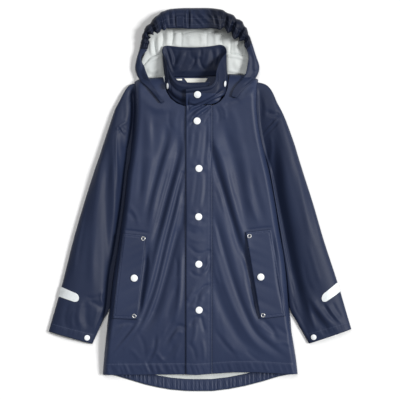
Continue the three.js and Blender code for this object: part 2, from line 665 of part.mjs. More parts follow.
add('back_panel', backPanel(), cloth);
add('back_hem_facing', hemFacing(), cloth);
add('front_left', frontPanel('left', LEFT_TOP, LEFT_FRONT_REACH, frontHeight), cloth);
add('front_right', frontPanel('right', RIGHT_TOP, PLACKET_RIGHT + SEAM_GAP, frontHeight), cloth);
add('placket', placket(), cloth);
add('sleeve_left', sleeve(LEFT_SLEEVE, 'left'), cloth);
add('sleeve_right', sleeve(RIGHT_SLEEVE, 'right'), cloth);
add('collar', collar(), cloth);
add('hood_back', hoodBack(), paleCloth);
add('hood_side_left', hoodPiece(0, HOOD_BRIM_START - SEAM_SHARE, 16), cloth);
add('hood_brim', hoodPiece(HOOD_BRIM_START, HOOD_BRIM_END, HOOD_BRIM_COLUMNS), cloth);
add('hood_side_right', hoodPiece(HOOD_BRIM_END + SEAM_SHARE, HOOD.length - 1, 18), cloth);

// Flaps, sewn down at their outer edge and standing off the front at their free edge
for (const flap of POCKET_FLAPS) {
  const corners = [[flap.ax, flap.ay], [flap.bx, flap.by], [flap.cx, flap.cy], [flap.dx, flap.dy]];
  const standsOff = (across) => FLAP_LIFT + FLAP_STANDS_OFF * across ** 2;
  add(flap.name, laidPiece(corners, frontHeight, 5, 14, FLAP_CLOTH, standsOff), cloth);
}
const flapHeight = (x, y) => frontHeight(x, y) + FLAP_CLOTH + SEAM_GAP + FLAP_LIFT + FLAP_STANDS_OFF;

for (const snap of PLACKET_SNAPS) capOn(snap, SNAP_PROFILE, SNAP_RADIUS, placketHeight, snapPlastic);
for (const snap of FLAP_SNAPS) capOn(snap, SNAP_PROFILE, SNAP_RADIUS, flapHeight, snapPlastic);
for (const rivet of FLAP_RIVETS) capOn(rivet, RIVET_PROFILE, RIVET_RADIUS, flapHeight, rivetMetal);

const neckMiddle = new THREE.Vector3(-8, 240, 20);
for (const { name, radius, around, up } of COLLAR_SNAPS) {
  capAt(name, radius, collarPoint, [around, up], CLOTH / 2, neckMiddle, snapPlastic);
}
for (const [side, rows] of [['left', LEFT_SLEEVE], ['right', RIGHT_SLEEVE]]) {
  const surface = (along, across) => sleeveTop(rows, side, along, across);
  const place = [CUFF_SNAP_DOWN, CUFF_SNAP_ACROSS];
  const inside = surface(...place).setZ(0);
  capAt(`cuff_snap_${side}`, CUFF_SNAP_RADIUS, surface, place, 0, inside, snapPlastic);
}

// Hanger loop and blank neck label, sewn to the inside of the back just below the neck seam
const stripOn = (x0, x1, y0, y1, inset, arch) => {
  const layer = (raised) => (across, up) => new THREE.Vector3(
    mix(mix(x0 + inset, x0, up), mix(x1 - inset, x1, up), across),
    mix(y0, y1, up),
    LIE + arch * Math.sin(Math.PI * across) + raised,
  );
  return between(grid(1, 6, layer(TAPE_CLOTH)), grid(1, 6, layer(0)));
};
add('hanger_loop', stripOn(-52, -36, 239.6, 243, 0, 1.6), cloth);
add('neck_label', stripOn(-32, 16, 234, 244, 8, 0), paleCloth);

// Small stitched tab on the brim, beside its centre seam
const tabLayer = (out) => movedOut(grid(3, 3, (across, down) => (
  hoodPoint(mix(TAB_FROM, TAB_TO, across), mix(TAB_TOP_STEP, TAB_LOW_STEP, down))
)), -out);
add('hood_tab', between(tabLayer(SEAM_GAP + TAPE_CLOTH), tabLayer(SEAM_GAP)), cloth);

add('reflective_tape_left', tape(LEFT_SLEEVE, 'left', -174, -193, 0), reflectiveTape);
add('reflective_tape_right', tape(RIGHT_SLEEVE, 'right', -164.4, -182.8, 12), reflectiveTape);

export default group;
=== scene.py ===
# %% [markdown]
# # A child's raincoat, laid flat
# The coat lies on its back, snapped shut, with the hood opened out behind the collar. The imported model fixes
# where every piece is. This lesson gives each its shape, folds, sewing and finish.

# %% Open the frame
from functools import partial

import bmesh
import bpy
import numpy as np
from mathutils import Matrix, Vector


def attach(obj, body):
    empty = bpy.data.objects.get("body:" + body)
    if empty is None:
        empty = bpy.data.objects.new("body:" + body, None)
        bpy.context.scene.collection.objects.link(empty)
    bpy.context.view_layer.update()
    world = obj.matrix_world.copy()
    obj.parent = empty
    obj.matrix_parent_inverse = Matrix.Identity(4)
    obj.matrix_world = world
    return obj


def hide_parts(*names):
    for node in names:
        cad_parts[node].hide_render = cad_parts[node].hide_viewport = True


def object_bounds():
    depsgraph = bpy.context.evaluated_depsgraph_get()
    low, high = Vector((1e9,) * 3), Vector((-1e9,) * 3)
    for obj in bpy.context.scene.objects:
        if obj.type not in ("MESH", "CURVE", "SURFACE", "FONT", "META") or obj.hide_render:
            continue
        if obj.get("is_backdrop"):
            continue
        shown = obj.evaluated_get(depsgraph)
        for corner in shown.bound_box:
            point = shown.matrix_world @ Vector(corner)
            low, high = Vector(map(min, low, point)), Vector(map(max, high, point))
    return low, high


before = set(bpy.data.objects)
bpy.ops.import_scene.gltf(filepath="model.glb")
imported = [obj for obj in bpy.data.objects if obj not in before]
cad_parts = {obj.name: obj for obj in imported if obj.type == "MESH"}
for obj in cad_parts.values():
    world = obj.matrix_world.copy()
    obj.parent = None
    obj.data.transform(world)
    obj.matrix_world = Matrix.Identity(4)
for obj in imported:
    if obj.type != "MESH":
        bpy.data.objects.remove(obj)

cad_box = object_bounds()
MM = 0.001

# %% [markdown]
# ## The camera
# Straight down, with a long lens from high above, so that raised parts don't lean outwards.

# %% Camera above the coat
SEEN_WIDE = 0.800
SEEN_LEVEL = 0.014
CAMERA_HIGH = 4.0
LENS = 150

camera_data = bpy.data.cameras.new("camera")
camera_data.lens = LENS
camera_data.sensor_width = LENS * SEEN_WIDE / (CAMERA_HIGH - SEEN_LEVEL)
camera = bpy.data.objects.new("camera", camera_data)
camera.location = (0, 0, CAMERA_HIGH)
bpy.context.scene.collection.objects.link(camera)
bpy.context.scene.camera = camera
print("sensor", round(camera_data.sensor_width, 2), "mm")

# %% [markdown]
# ## Light
# A far soft lamp from the right, half way up, draws the folds and leaves a short shadow on the left. A weaker,
# softer one comes from the top, and an even white sky fills the rest.

# %% Lamps and sky
bpy.context.scene.view_settings.view_transform = "Standard"

SKY = 0.22
LAMPS = {
    "lamp_right": ((1, 0.08, 1), 0.28, 2.9),
    "lamp_top": ((-0.15, 0.5, 1), 0.7, 1.1),
}

world = bpy.data.worlds.new("sky")
world.use_nodes = True
world.node_tree.nodes["Background"].inputs["Color"].default_value = (1, 1, 1, 1)
world.node_tree.nodes["Background"].inputs["Strength"].default_value = SKY
bpy.context.scene.world = world
for lamp_name, (place, width, strength) in LAMPS.items():
    lamp_data = bpy.data.lights.new(lamp_name, "SUN")
    lamp_data.angle = width
    lamp_data.energy = strength
    lamp = bpy.data.objects.new(lamp_name, lamp_data)
    lamp.location = place
    lamp.rotation_euler = Vector(place).to_track_quat("Z", "Y").to_euler()
    bpy.context.scene.collection.objects.link(lamp)
print("lamps", len(LAMPS))

# %% [markdown]
# ## Writing finishes as sums
# A finish is a small graph of nodes. Wrapping a socket in a class with the usual operators lets it be
# written as arithmetic, so `grain * 0.3 + 0.4` reads as what it does.

# %% Finish and Amount
def operator(operation, turned=False):
    def combine(self, other):
        pair = (other, self) if turned else (self, other)
        return self.finish.node("Math", {"operation": operation}, dict(enumerate(pair)))

    return combine


class Amount:
    """A number that varies over a surface."""

    def __init__(self, finish, socket):
        self.finish, self.socket = finish, socket

    __add__, __radd__ = operator("ADD"), operator("ADD", True)
    __sub__, __mul__ = operator("SUBTRACT"), operator("MULTIPLY")


class Finish:
    """A material built from nodes, ending in one Principled shader."""

    def __init__(self, name):
        self.material = bpy.data.materials.new(name)
        self.material.use_nodes = True
        self.tree = self.material.node_tree
        self.shader = self.tree.nodes["Principled BSDF"]

    def put(self, socket, value):
        if isinstance(value, Amount):
            self.tree.links.new(value.socket, socket)
        else:
            socket.default_value = value

    def node(self, kind, settings=None, values=None, output=0):
        made = self.tree.nodes.new("ShaderNode" + kind)
        for key, value in (settings or {}).items():
            setattr(made, key, value)
        for key, value in (values or {}).items():
            self.put(made.inputs[key], value)
        return Amount(self, made.outputs[output])

    def place(self):
        return self.node("TexCoord", output="Object")

    def along_cloth(self):
        return self.node("UVMap", {"uv_map": "cut"})

    def noise(self, where, scale, detail=2.0, roughness=0.5):
        values = {"Vector": where, "Scale": scale, "Detail": detail, "Roughness": roughness}
        return self.node("TexNoise", values=values, output="Fac")

    def lines(self, where, direction, scale, uneven=0.0):
        values = {"Vector": where, "Scale": scale, "Distortion": uneven}
        return self.node("TexWave", {"bands_direction": direction}, values)

    def between(self, amount, low, high):
        return self.node("MapRange", {"interpolation_type": "SMOOTHSTEP"}, {"Value": amount, 1: low, 2: high})

    def blend(self, factor, first, second):
        made = self.tree.nodes.new("ShaderNodeMix")
        made.data_type = "RGBA"
        self.put(made.inputs["Factor"], factor)
        self.put(made.inputs[6], first)
        self.put(made.inputs[7], second)
        return Amount(self, made.outputs[2])

    def bump(self, height, distance, strength=1.0, under=None):
        values = {"Height": height, "Distance": distance, "Strength": strength}
        if under is not None:
            values["Normal"] = under
        return self.node("Bump", values=values)

    def finished(self, **values):
        for key, value in values.items():
            self.put(self.shader.inputs[key.replace("_", " ").title().replace("Ior", "IOR")], value)
        return self.material


def linear(*channels):
    """A colour as read from a picture, 0 to 255, as the shader wants it."""
    shares = [c / 255 for c in channels]
    return tuple(c / 12.92 if c <= 0.04045 else ((c + 0.055) / 1.055) ** 2.4 for c in shares) + (1,)


# Scales a colour down; the shell cloth uses it only for painted shade.
def darker(colour, painted_shade):
    return tuple(c * painted_shade for c in colour[:3]) + (1,)


def grained(name, scale, detail, pale, deep, rough, uneven, relief, strength, grain_rough=0.5, **steady):
    """A finish whose fine grain tints, dulls and raises it."""
    finish = Finish(name)
    grain = finish.noise(finish.place(), scale, detail, grain_rough)
    return finish.finished(
        base_color=finish.blend(grain, pale, deep), roughness=rough + grain * uneven,
        normal=finish.bump(grain, relief, strength), **steady)


# %% [markdown]
# ## The coated cloth
# The shell is knitted polyester with a smooth coat of polyurethane, so it has the soft shine of thin rubber.
# Close up it shows a fine pebbled grain, unevenly worn shine, and faint crinkles a few millimetres wide.

# %% Shell cloth
NAVY = linear(35, 45, 72)
NAVY_WORN = linear(39, 50, 78)
# Share of the brim's colour left in its gathers: painted shade.
GATHER_PAINTED_SHADE = 0.5


def shell_cloth(name, painted_shade=1.0, painted_shade_ends=None):
    finish = Finish(name)
    where = finish.place()
    handled = finish.between(finish.noise(where, 9, 3), 0.35, 0.7)
    grain = finish.noise(where, 1500, 2, 0.6)
    crinkle = finish.noise(where, 95, 4, 0.55)
    # A factor below 1 darkens this copy of the cloth and dulls its shine: painted shade.
    dark = darker(NAVY, painted_shade)
    colour = finish.blend(handled * 0.7 + grain * 0.3, dark, darker(NAVY_WORN, painted_shade))
    # Towards both ends of the brim, in the elastic gathers, the colour darkens further: painted shade.
    if painted_shade_ends:
        middle, half, fade = painted_shade_ends
        run = finish.node("SeparateXYZ", values={0: finish.along_cloth()})
        from_middle = finish.node("Math", {"operation": "ABSOLUTE"}, {0: run - middle})
        colour = finish.blend(finish.between(from_middle, half, half + fade), colour, darker(dark, GATHER_PAINTED_SHADE))
    soft = finish.bump(crinkle, 0.0006, 0.35)
    return finish.finished(
        base_color=colour,
        specular_ior_level=0.27 * painted_shade,
        roughness=0.47 + handled * 0.05 + grain * 0.04,
        normal=finish.bump(grain, 0.00012, 0.5, under=soft),
    )


# Darker copies of the one shell cloth paint shade into the sleeves, the hood, the collar and the tab.
navy_cloth = shell_cloth("navy_cloth")
# The sleeves and the hood's sides are drawn about a quarter darker: painted shade.
navy_cloth_sleeve_painted_shade = shell_cloth("navy_cloth_sleeve_painted_shade", 0.76)
# A still darker copy paints the shade inside the collar and on the brim's tab.
navy_cloth_shaded = shell_cloth("navy_cloth_painted_shade", 0.62)
# The brim is as dark as the collar's copy, and darker still in its gathers: painted shade.
navy_cloth_brim_painted_shade = shell_cloth("navy_cloth_brim_painted_shade", 0.62, (0.42, 0.12, 0.05))
print("finish", navy_cloth.name, len(navy_cloth.node_tree.nodes), "nodes")

# %% [markdown]
# ## The inside of the cloth
# Inside, the knit itself shows: matt, pale grey, finely ribbed. Two sets of fine waves at right angles make
# it, and a large noise makes it a little uneven.

# %% Pale inside
PALE = linear(211, 215, 213)
PALE_SHADED = linear(192, 197, 197)

inside_finish = Finish("pale_inside")
inside_place = inside_finish.place()
ribs = inside_finish.lines(inside_place, "X", 420, 0.6)
knit = ribs * 0.6 + inside_finish.lines(inside_place, "Y", 340, 0.8) * 0.4
uneven = inside_finish.between(inside_finish.noise(inside_place, 22, 3), 0.3, 0.75)
pale_inside = inside_finish.finished(
    base_color=inside_finish.blend(uneven * 0.7 + knit * 0.2, PALE, PALE_SHADED),
    roughness=0.74 + knit * 0.08,
    normal=inside_finish.bump(knit, 0.0001, 0.5),
)
print("finish", pale_inside.name)

# %% [markdown]
# ## Snaps, rivets, tape, thread and label
# The caps are moulded plastic with a faint orange-peel, the rivets bright turned metal, and the tape a silvery
# film with a tiny diamond grid. Thread is twisted, and the label is a woven ribbon.

# %% Small finishes
white_cap = grained(
    "white_cap", 700, 2, linear(243, 246, 248), linear(234, 238, 241), 0.26, 0.08, 0.00005, 0.4)
rivet_metal = grained(
    "rivet_metal", 2600, 3, linear(205, 206, 206), linear(166, 167, 168), 0.24, 0.16, 0.00004, 0.5, 0.7,
    metallic=1.0)
navy_thread = grained(
    "navy_thread", 2600, 2, linear(96, 105, 132), linear(66, 75, 102), 0.6, 0.15, 0.00008, 0.6)

tape_finish = Finish("silver_tape")
tape_place = tape_finish.along_cloth()
tape_mirrored = tape_finish.node("VectorMath", {"operation": "MULTIPLY"}, {0: tape_place, 1: (-1, 1, 1)})
film = tape_finish.lines(tape_place, "DIAGONAL", 620) * tape_finish.lines(tape_mirrored, "DIAGONAL", 620)
worn_film = tape_finish.between(tape_finish.noise(tape_finish.place(), 160, 3), 0.35, 0.7)
silver_tape = tape_finish.finished(
    base_color=tape_finish.blend(film * 0.4 + worn_film * 0.3, linear(226, 231, 232), linear(198, 205, 208)),
    roughness=0.38 + film * 0.12,
    metallic=0.12,
    normal=tape_finish.bump(film, 0.00006, 0.5),
)

label_finish = Finish("woven_label")
weft = label_finish.lines(label_finish.along_cloth(), "Y", 700, 0.3)
woven_label = label_finish.finished(
    base_color=label_finish.blend(weft, linear(240, 240, 234), linear(224, 224, 217)),
    roughness=0.5 + weft * 0.2,
    normal=label_finish.bump(weft, 0.00006, 0.6),
)
print("finishes", [m.name for m in bpy.data.materials if m.use_nodes])

# %% [markdown]
# ## The pattern's own sizes
# A tailor draws a coat from a few tables of measurements. These are in millimetres from the middle of the
# coat, and a smooth reading between the rows gives every point in between.

# %% Tables and how they are read
CLOTH = 1.5
SEAM_GAP = 0.35
LIE = CLOTH + SEAM_GAP
SIDE_ROUND = 13
SHOULDER_ROUND = 44
ARMHOLE_GAP = 0.4


def table(columns, text, *more):
    """Named columns of numbers, from rows that semicolons part."""
    rows = [row.split() for row in text.split(";")] + list(more)
    return dict(zip(columns.split(), np.array(rows, float).T))


def read(rows, column, place, along=None):
    """Smooth reading of a column at places along another one, or along the row number."""
    values = rows[column]
    at = rows[along] if along else np.arange(len(values), dtype=float)
    slope = np.empty_like(values)
    slope[1:-1] = (values[2:] - values[:-2]) / (at[2:] - at[:-2])
    slope[0] = (values[1] - values[0]) / (at[1] - at[0])
    slope[-1] = (values[-1] - values[-2]) / (at[-1] - at[-2])
    place = np.clip(place, at[0], at[-1])
    k = np.clip(np.searchsorted(at, place) - 1, 0, len(at) - 2)
    span = at[k + 1] - at[k]
    t = (place - at[k]) / span
    first, last = values[k], values[k + 1]
    leave, arrive = slope[k] * span, slope[k + 1] * span
    square = 3 * (last - first) - 2 * leave - arrive
    return first + leave * t + square * t**2 + (2 * (first - last) + leave + arrive) * t**3


def read_straight(rows, column, place, along=None):
    """Straight reading, for outlines with corners."""
    at = rows[along] if along else np.arange(len(rows[column]))
    return np.interp(place, at, rows[column])


def mix(a, b, t):
    return a + (b - a) * t


def eased(low, high, value):
    t = np.clip((value - low) / (high - low), 0, 1)
    return t * t * (3 - 2 * t)


def rounded(t):
    """Quarter round that stands upright at 0 and is level from 1 on."""
    return np.sqrt(np.maximum(0, 1 - (1 - np.clip(t, 0, 1)) ** 2))


BODY = table("y left right edge crown", """
    -352 -195.2 196.2 0 12; -326 -193.2 193.4 0 17; -300 -191 189.6 0 21; -260 -186.6 183 0 24;
    -216 -180 177.6 0 26; -162 -174.6 173.4 0 27; -110 -166 167.4 0 27; -62 -159 158.6 0 27;
    -10 -151.6 150.6 0 27; 46 -145.6 140.6 0 26; 82 -139.8 132.2 1 26; 100 -136.8 127.6 4.5 25;
    130 -132.2 120.4 9 25; 160 -129 115.6 11 25; 188 -128 113.2 11 25; 216 -129 113.8 10 25;
    246 -130.4 115.4 10 25""")
HEM = table("x y", """
    -196 -350; -110 -349.4; -28 -348.6; -8 -349.8; 66 -344.6; 114 -344.6; 170 -348; 197 -348.6""")
SHOULDER = table("x y", """
    -131 236; -121 242; -103 244.6; -72 246.4; 58 252.6; 90 251.4; 112 243; 116 240""")
TAIL = table("x y", """
    -195.2 -348.6; -176 -351; -144 -360.4; -109 -371; -84 -376.6; -58 -381; -28 -383.6; -10 -384;
    25 -383.8; 57 -380; 91 -373.4; 125 -364.6; 158 -354.6; 177 -351; 196.2 -348.6""")
print("body", len(BODY["y"]), "rows")

# %% [markdown]
# ## Folds
# Cloth that lies still keeps soft troughs and ridges where it was pulled. Each fold is one row: half its
# width, its height, below zero for a trough, and the points it runs through. A bell-shaped section and
# faded ends melt it into the cloth. The folds run as the snaps, pockets and armholes pull them.

# %% One height for a whole table of folds
FOLD_STEPS = 6


def folds(text):
    """Rows that semicolons part. Each is: half width, height, and the points that the fold runs through."""
    made = []
    for row in text.split(";"):
        wide, high, *run = row.split()
        made.append([float(wide), float(high)] + [np.array(point.split(","), float) for point in run])
    return made


def fold_height(folds, x, y):
    """Height that a table of folds adds at each place."""
    height = np.zeros(np.shape(x))
    for wide, high, *points in folds:
        run = dict(zip("xy", np.array(points, float).T))
        last = len(points) - 1
        t = np.linspace(0, last, FOLD_STEPS * last + 1)
        fx, fy = read(run, "x", t), read(run, "y", t)
        near = (x > fx.min() - 3 * wide) & (x < fx.max() + 3 * wide)
        near &= (y > fy.min() - 3 * wide) & (y < fy.max() + 3 * wide)
        if not near.any():
            continue
        px, py = x[near][:, None], y[near][:, None]
        dx, dy = np.diff(fx), np.diff(fy)
        share = np.clip(((px - fx[:-1]) * dx + (py - fy[:-1]) * dy) / (dx**2 + dy**2), 0, 1)
        away = np.hypot(px - fx[:-1] - share * dx, py - fy[:-1] - share * dy)
        closest = away.argmin(axis=1)
        rank = np.arange(len(closest))
        where = (closest + share[rank, closest]) / len(dx)
        fade = np.minimum(1, 0.2 + 4 * np.minimum(where, 1 - where))
        height[near] += high * fade * np.exp(-((away[rank, closest] / wide) ** 2))
    return height


FRONT_FOLDS = folds("""
    8 4.4 -56,118 -74,62 -90,6 -102,-54; 8 -3.4 -66,152 -69,118 -84,62 -98,6 -107,-50;
    4 -1.6 -58,78 -74,26 -84,-14 -97,-68; 4.5 2.2 -56,82 -68,36 -80,-8 -98,-78;
    8 -5 -41,126 -46,84 -64,20 -78,-34 -96,-102; 7 4.6 -33,98 -45,44 -58,-4 -77,-76 -99,-162 -122,-238;
    5 3.6 -112,-214 -124,-246 -143,-271 -166,-296 -188,-316;
    4 -3.2 -120,-236 -140,-261 -156,-281 -171,-299 -188,-320;
    5 -3.4 -32,58 -37,46 -53,-16 -71,-84 -86,-151 -102,-202 -128,-262 -168,-306;
    5 3 -32,46 -38,22 -46,-22 -58,-71 -72,-129 -88,-191 -110,-242 -150,-294;
    8 -5.6 -36,-20 -42,-52 -51,-84 -63,-129 -71,-158 -85,-204 -96,-232 -112,-262;
    5 3 -36,-92 -38,-130 -39,-164 -42,-204 -50,-238; 5 -1.6 -44,-166 -56,-204 -66,-242;
    7 -1.8 -34,20 -34,-20 -34,-70; 9 3 -112,196 -104,150 -98,100 -104,40 -112,-20;
    6 -2.2 -117,176 -117,110 -119,40 -124,0; 8 -1.8 -92,162 -94,120 -96,82;
    9 2.6 -121,206 -104,192 -84,182 -58,186; 9 4.6 28,132 33,108 43,84 60,18 79,-49 93,-92;
    7 -5.2 22,112 25,88 34,54 51,0 64,-42 81,-98 93,-130; 10 -3.4 46,154 55,120 66,84 76,44 86,-20 92,-52;
    8 1.6 72,140 84,100 91,62 98,16 112,-42; 6 -1.2 104,50 110,16 118,-10 128,-42;
    6 1.2 110,66 118,36 125,12 134,-16 142,-48;
    7 2 40,-18 46,-44 59,-89 77,-151 95,-207 120,-254 146,-282 184,-310;
    5 -2.2 28,-30 34,-52 46,-96 64,-156 85,-213 109,-262 136,-288 172,-314;
    6 1.8 26,-72 30,-98 38,-130 54,-180 80,-240 112,-286 154,-318;
    9 -2.8 26,-150 33,-180 44,-212 60,-244 82,-280 122,-316; 8 1.4 28,-196 36,-236 50,-278 84,-314;
    5 -1.5 32,-262 52,-290 80,-316; 5 -2.2 124,-238 142,-256 154,-278; 7 -2 103,186 105,146 112,104;
    8 1.2 60,186 70,160 78,130""")
SLIT_FOLDS = folds("""
    6 -6.5 -105,-92 -111,-140 -117,-190 -122,-240; 6 -6 86,-90 98,-146 107,-186 117,-236""")
print("large folds", len(FRONT_FOLDS) + len(SLIT_FOLDS))

# %% [markdown]
# ## Creases of the fronts
# Narrower ones fan out from the snaps towards the pockets and the hem, and a few gather at the neck, the
# armholes and the pocket corners.

# %% Smaller creases of the fronts
FRONT_CREASES = folds("""
    4 -1.9 -29,-254 -44,-251 -56,-266 -70,-289; 5 1.6 -34,-264 -46,-265 -60,-284;
    3.5 -1.6 -88,-268 -92,-298 -104,-322; 3 1 -82,-270 -86,-298 -96,-320;
    3.5 1.4 -86,-304 -80,-314 -72,-322; 4 -1.1 -52,-286 -60,-304 -74,-318; 4 1 -38,-284 -46,-304 -50,-320;
    4 -0.9 -124,-262 -112,-290 -110,-318; 4 0.8 -140,-296 -128,-308 -120,-320;
    3 0.7 -150,-244 -160,-262 -176,-280; 2.2 -1.6 -157,-60 -132,-62 -104,-66;
    2.2 -1.6 88,-61 116,-57 144,-54; 5 -1 -148,-24 -136,-30 -130,-42; 4 0.8 -140,-10 -128,-30 -122,-50;
    4 -1 -128,-246 -146,-244 -168,-250; 5 0.9 -176,-250 -182,-280 -186,-306;
    4 0.9 -152,20 -146,-10 -148,-40; 4 -0.8 -60,178 -62,160 -58,140; 5 0.9 -44,182 -50,160 -50,138;
    3.5 -1 -32,170 -33,140 -31,112; 3 0.8 -34,8 -38,-30 -46,-64; 3 -0.8 -48,-112 -46,-136 -50,-156;
    3 0.9 -104,-106 -100,-130 -106,-160; 4 0.8 -62,-180 -72,-216 -84,-246;
    4 -0.8 -52,-234 -66,-262 -90,-290; 3.5 0.8 -66,-250 -80,-280 -112,-306;
    2.6 1.2 -112,-322 -109,-334 -103,-346; 2.4 -1 -106,-322 -102,-334 -97,-345;
    3 1.2 -95,-326 -92,-336 -88,-346; 3 1.2 -84,-328 -81,-337 -77,-346; 3 1 -64,-326 -60,-336 -54,-344;
    3 0.9 -151,-326 -148,-337 -145,-347; 3 0.9 -166,-322 -163,-334 -162,-346;
    4 0.7 -126,-326 -123,-338 -121,-347; 3.5 1 30,-50 36,-84 42,-110; 3.5 0.8 28,-120 32,-146 40,-170;
    4 -0.9 62,-56 72,-88 80,-112; 3.5 0.8 86,-150 94,-184 106,-216; 4 -0.9 30,24 38,-4 46,-30;
    4 0.8 34,44 40,20 48,-6; 5 0.9 98,6 104,-16 116,-46; 4 -0.8 60,60 66,30 74,0;
    4 1 118,-246 136,-262 156,-270; 5 -0.9 148,-250 164,-262 176,-270; 4 0.9 150,-286 166,-284 184,-290;
    4 -0.8 92,-300 104,-312 120,-322; 5 -0.8 34,-216 40,-250 48,-276; 4 0.7 60,-290 70,-306 84,-320;
    2.4 0.6 60,-326 62,-336 66,-342; 2.6 0.6 100,-324 104,-334 110,-342;
    2.6 0.6 128,-326 132,-336 138,-344; 3 0.6 156,-328 160,-338 164,-346; 3 1.2 152,-66 156,-96 162,-126;
    3 -1.4 145,-60 149,-112 155,-168 166,-214; 3 1 158,-150 163,-176 170,-200;
    4 -1.2 52,188 62,196 80,200; 5 1 76,196 90,204 104,216; 5 -1.2 84,208 96,222 112,230;
    5 -1.4 -112,222 -98,210 -84,198; 5 1.2 -96,226 -84,214 -76,204; 4 -1 32,186 38,168 36,150;
    4 0.9 42,192 50,176 50,160""")
print("creases", len(FRONT_CREASES))


# %% [markdown]
# ## Sewn edges
# Topstitching pulls the cloth in, so beside it the cloth puckers in short uneven waves, and the thread lies in
# a shallow groove. Both depend on how far a point is from the sewn line, and how far along it.

# %% Puckers and grooves
def uneven_waves(along, length, seed=0.0):
    """Waves whose length wanders, between -1 and 1."""
    turn = 2 * np.pi * along / length
    return 0.7 * np.sin(turn + 1.4 * np.sin(turn / 3.7 + seed)) + 0.3 * np.sin(2.3 * turn + 2 * seed)


def groove(away, wide, deep):
    return -deep * np.exp(-((away / wide) ** 2))


def puckers(away, along, wide, high, length, seed=0.0):
    return high * uneven_waves(along, length, seed) * np.exp(-((away / wide) ** 2))


HEM_STITCH_UP = 22
HEM_LAYER = 0.7


def hem_relief(x, y):
    """Doubled band at the hem, its groove and its puckers."""
    up = y - read_straight(HEM, "y", x, "x")
    band = HEM_LAYER * eased(HEM_STITCH_UP + 2, HEM_STITCH_UP - 1, up)
    lean = x + 0.35 * up
    left_more = mix(0.8, 0.3, eased(-60, 20, x))
    waves = puckers(up - 11, lean, 10, left_more, 13, 0.4)
    return band + waves + groove(up - HEM_STITCH_UP, 1.6, 0.5)


print("hem band", HEM_STITCH_UP, "mm")

# %% [markdown]
# ## Height of the closed fronts
# Both fronts and all that lies on them share one height, so a flap or a snap follows the folds under it.

# %% Front and placket heights
PLACKET_LEFT = -28
PLACKET_RIGHT = 23.6
PLACKET_LIFT = 3.6
PLACKET_TOP = 189.4
PLACKET_SEWN_AT = 19.4
FRONT_SEWN_AT = 25
LEFT_FRONT_REACH = 6
FOLDS_DEEP = 0.9


def body_places(x, y):
    """Distances from the nearer side edge and from the shoulder line."""
    from_side = np.maximum(0, np.minimum(x - read(BODY, "left", y, "y"), read(BODY, "right", y, "y") - x))
    return from_side, read_straight(SHOULDER, "y", x, "x") - y


def front_height(x, y):
    from_side, from_shoulder = body_places(x, y)
    edge, crown = read(BODY, "edge", y, "y"), read(BODY, "crown", y, "y")
    form = (edge + (crown - edge) * rounded(from_side / SIDE_ROUND)) * rounded(from_shoulder / SHOULDER_ROUND)
    large = FOLDS_DEEP * fold_height(FRONT_FOLDS, x, y) * eased(4, 40, from_side) * eased(0, 30, from_shoulder)
    small = fold_height(FRONT_CREASES, x, y) * eased(0, 14, from_side) * eased(-2, 12, from_shoulder)
    return LIE + CLOTH + form + large + small + hem_relief(x, y) * eased(0, 10, from_side)


def placket_raise(x):
    return PLACKET_LIFT * (1 - eased(-12, 22, x))


FRONT_SNAPS = table("x y", """
    -5.8 157.4; -2.2 62.8; -2.8 -33.4; -2.6 -127.8; -1.9 -219.2""")
PLACKET_CREASES = folds("""
    3.4 -1.2 14,150 11,112 8,84 6,68; 3 0.7 18,160 17,110 14,72; 3.5 -0.7 -9,142 -11,112 -16,82;
    3.5 0.6 -15,140 -19,110 -22,76; 3 0.6 -1,142 -4,110 -8,82; 4 -0.9 -22,152 -24,130 -23,106;
    3.5 -0.7 12,58 11,20 6,-14; 3 0.5 5,50 4,20 0,-12; 3 -0.7 -5,52 -9,18 -13,-12;
    3 0.5 -14,50 -17,14 -22,-16; 5 0.9 -24,-44 -6,-51 14,-50; 5 -1 -24,-62 -8,-67 8,-62;
    3.5 0.6 -22,-76 -6,-82 12,-80; 4 -1.5 -24,-90 -8,-105 6,-106 16,-102 23,-106;
    3 1.6 15,-110 15,-128 4,-146; 3 -1.3 20,-112 20,-130 12,-150; 3.5 -2 -8,-208 -2,-186 8,-173 22,-168;
    3.5 1.2 2,-204 6,-190 18,-180; 3.5 -1.5 -4,-180 -14,-199 -24,-212; 3.5 1.2 -10,-172 -20,-190 -26,-200;
    4 -1.8 -2,-230 -12,-237 -20,-254; 3.5 -1.6 2,-230 5,-246 10,-264; 4 1.2 -8,-244 -10,-266 -16,-290;
    4 -1 -22,-284 -12,-300 -8,-322; 4 1 4,-276 8,-300 8,-322; 3.5 -1 -20,-140 -10,-150 4,-152""")


NECK_FOLDS = folds("""
    2.6 2.3 39,223 28,211 14,203 0,196.5 -12,193 -22,195.5;
    2.2 -2.4 45,220 36,211.5 26,205 12,197.5 0,192 -12,188.5 -20,186;
    2.6 2.6 51,219 45,212 33,205.5 20,198 4,190.5 -12,185.5 -20,179 -23,172;
    2.6 -3.2 55,212 44,205 26,198.5 10,190 -4,183 -14,176 -26,164;
    2.6 2.3 21,191 8,183 -4,174.5 -15,164 -24,150; 2.3 -2.6 22,188 11,178 -2,168.5 -12,161 -19,147;
    2.6 1 23,181 14,172 8,162; 2.4 -1 22,172 14,164 10,154; 1.8 1.4 -26,208 -27,194 -25,179;
    1.6 -1.6 -22,204 -24,192 -22,176""")


def snap_dimples(x, y):
    """Cloth drawn in round each snap, with short folds that run out from it."""
    height = np.zeros(np.shape(x))
    for k, (sx, sy) in enumerate(zip(FRONT_SNAPS["x"], FRONT_SNAPS["y"])):
        away, turn = np.hypot(x - sx, y - sy), np.arctan2(y - sy, x - sx)
        height -= 0.8 * np.exp(-((away / 9) ** 2))
        height += 0.4 * np.sin(5 * turn + 1.7 * k) * np.exp(-(((away - 13) / 6) ** 2))
    return height


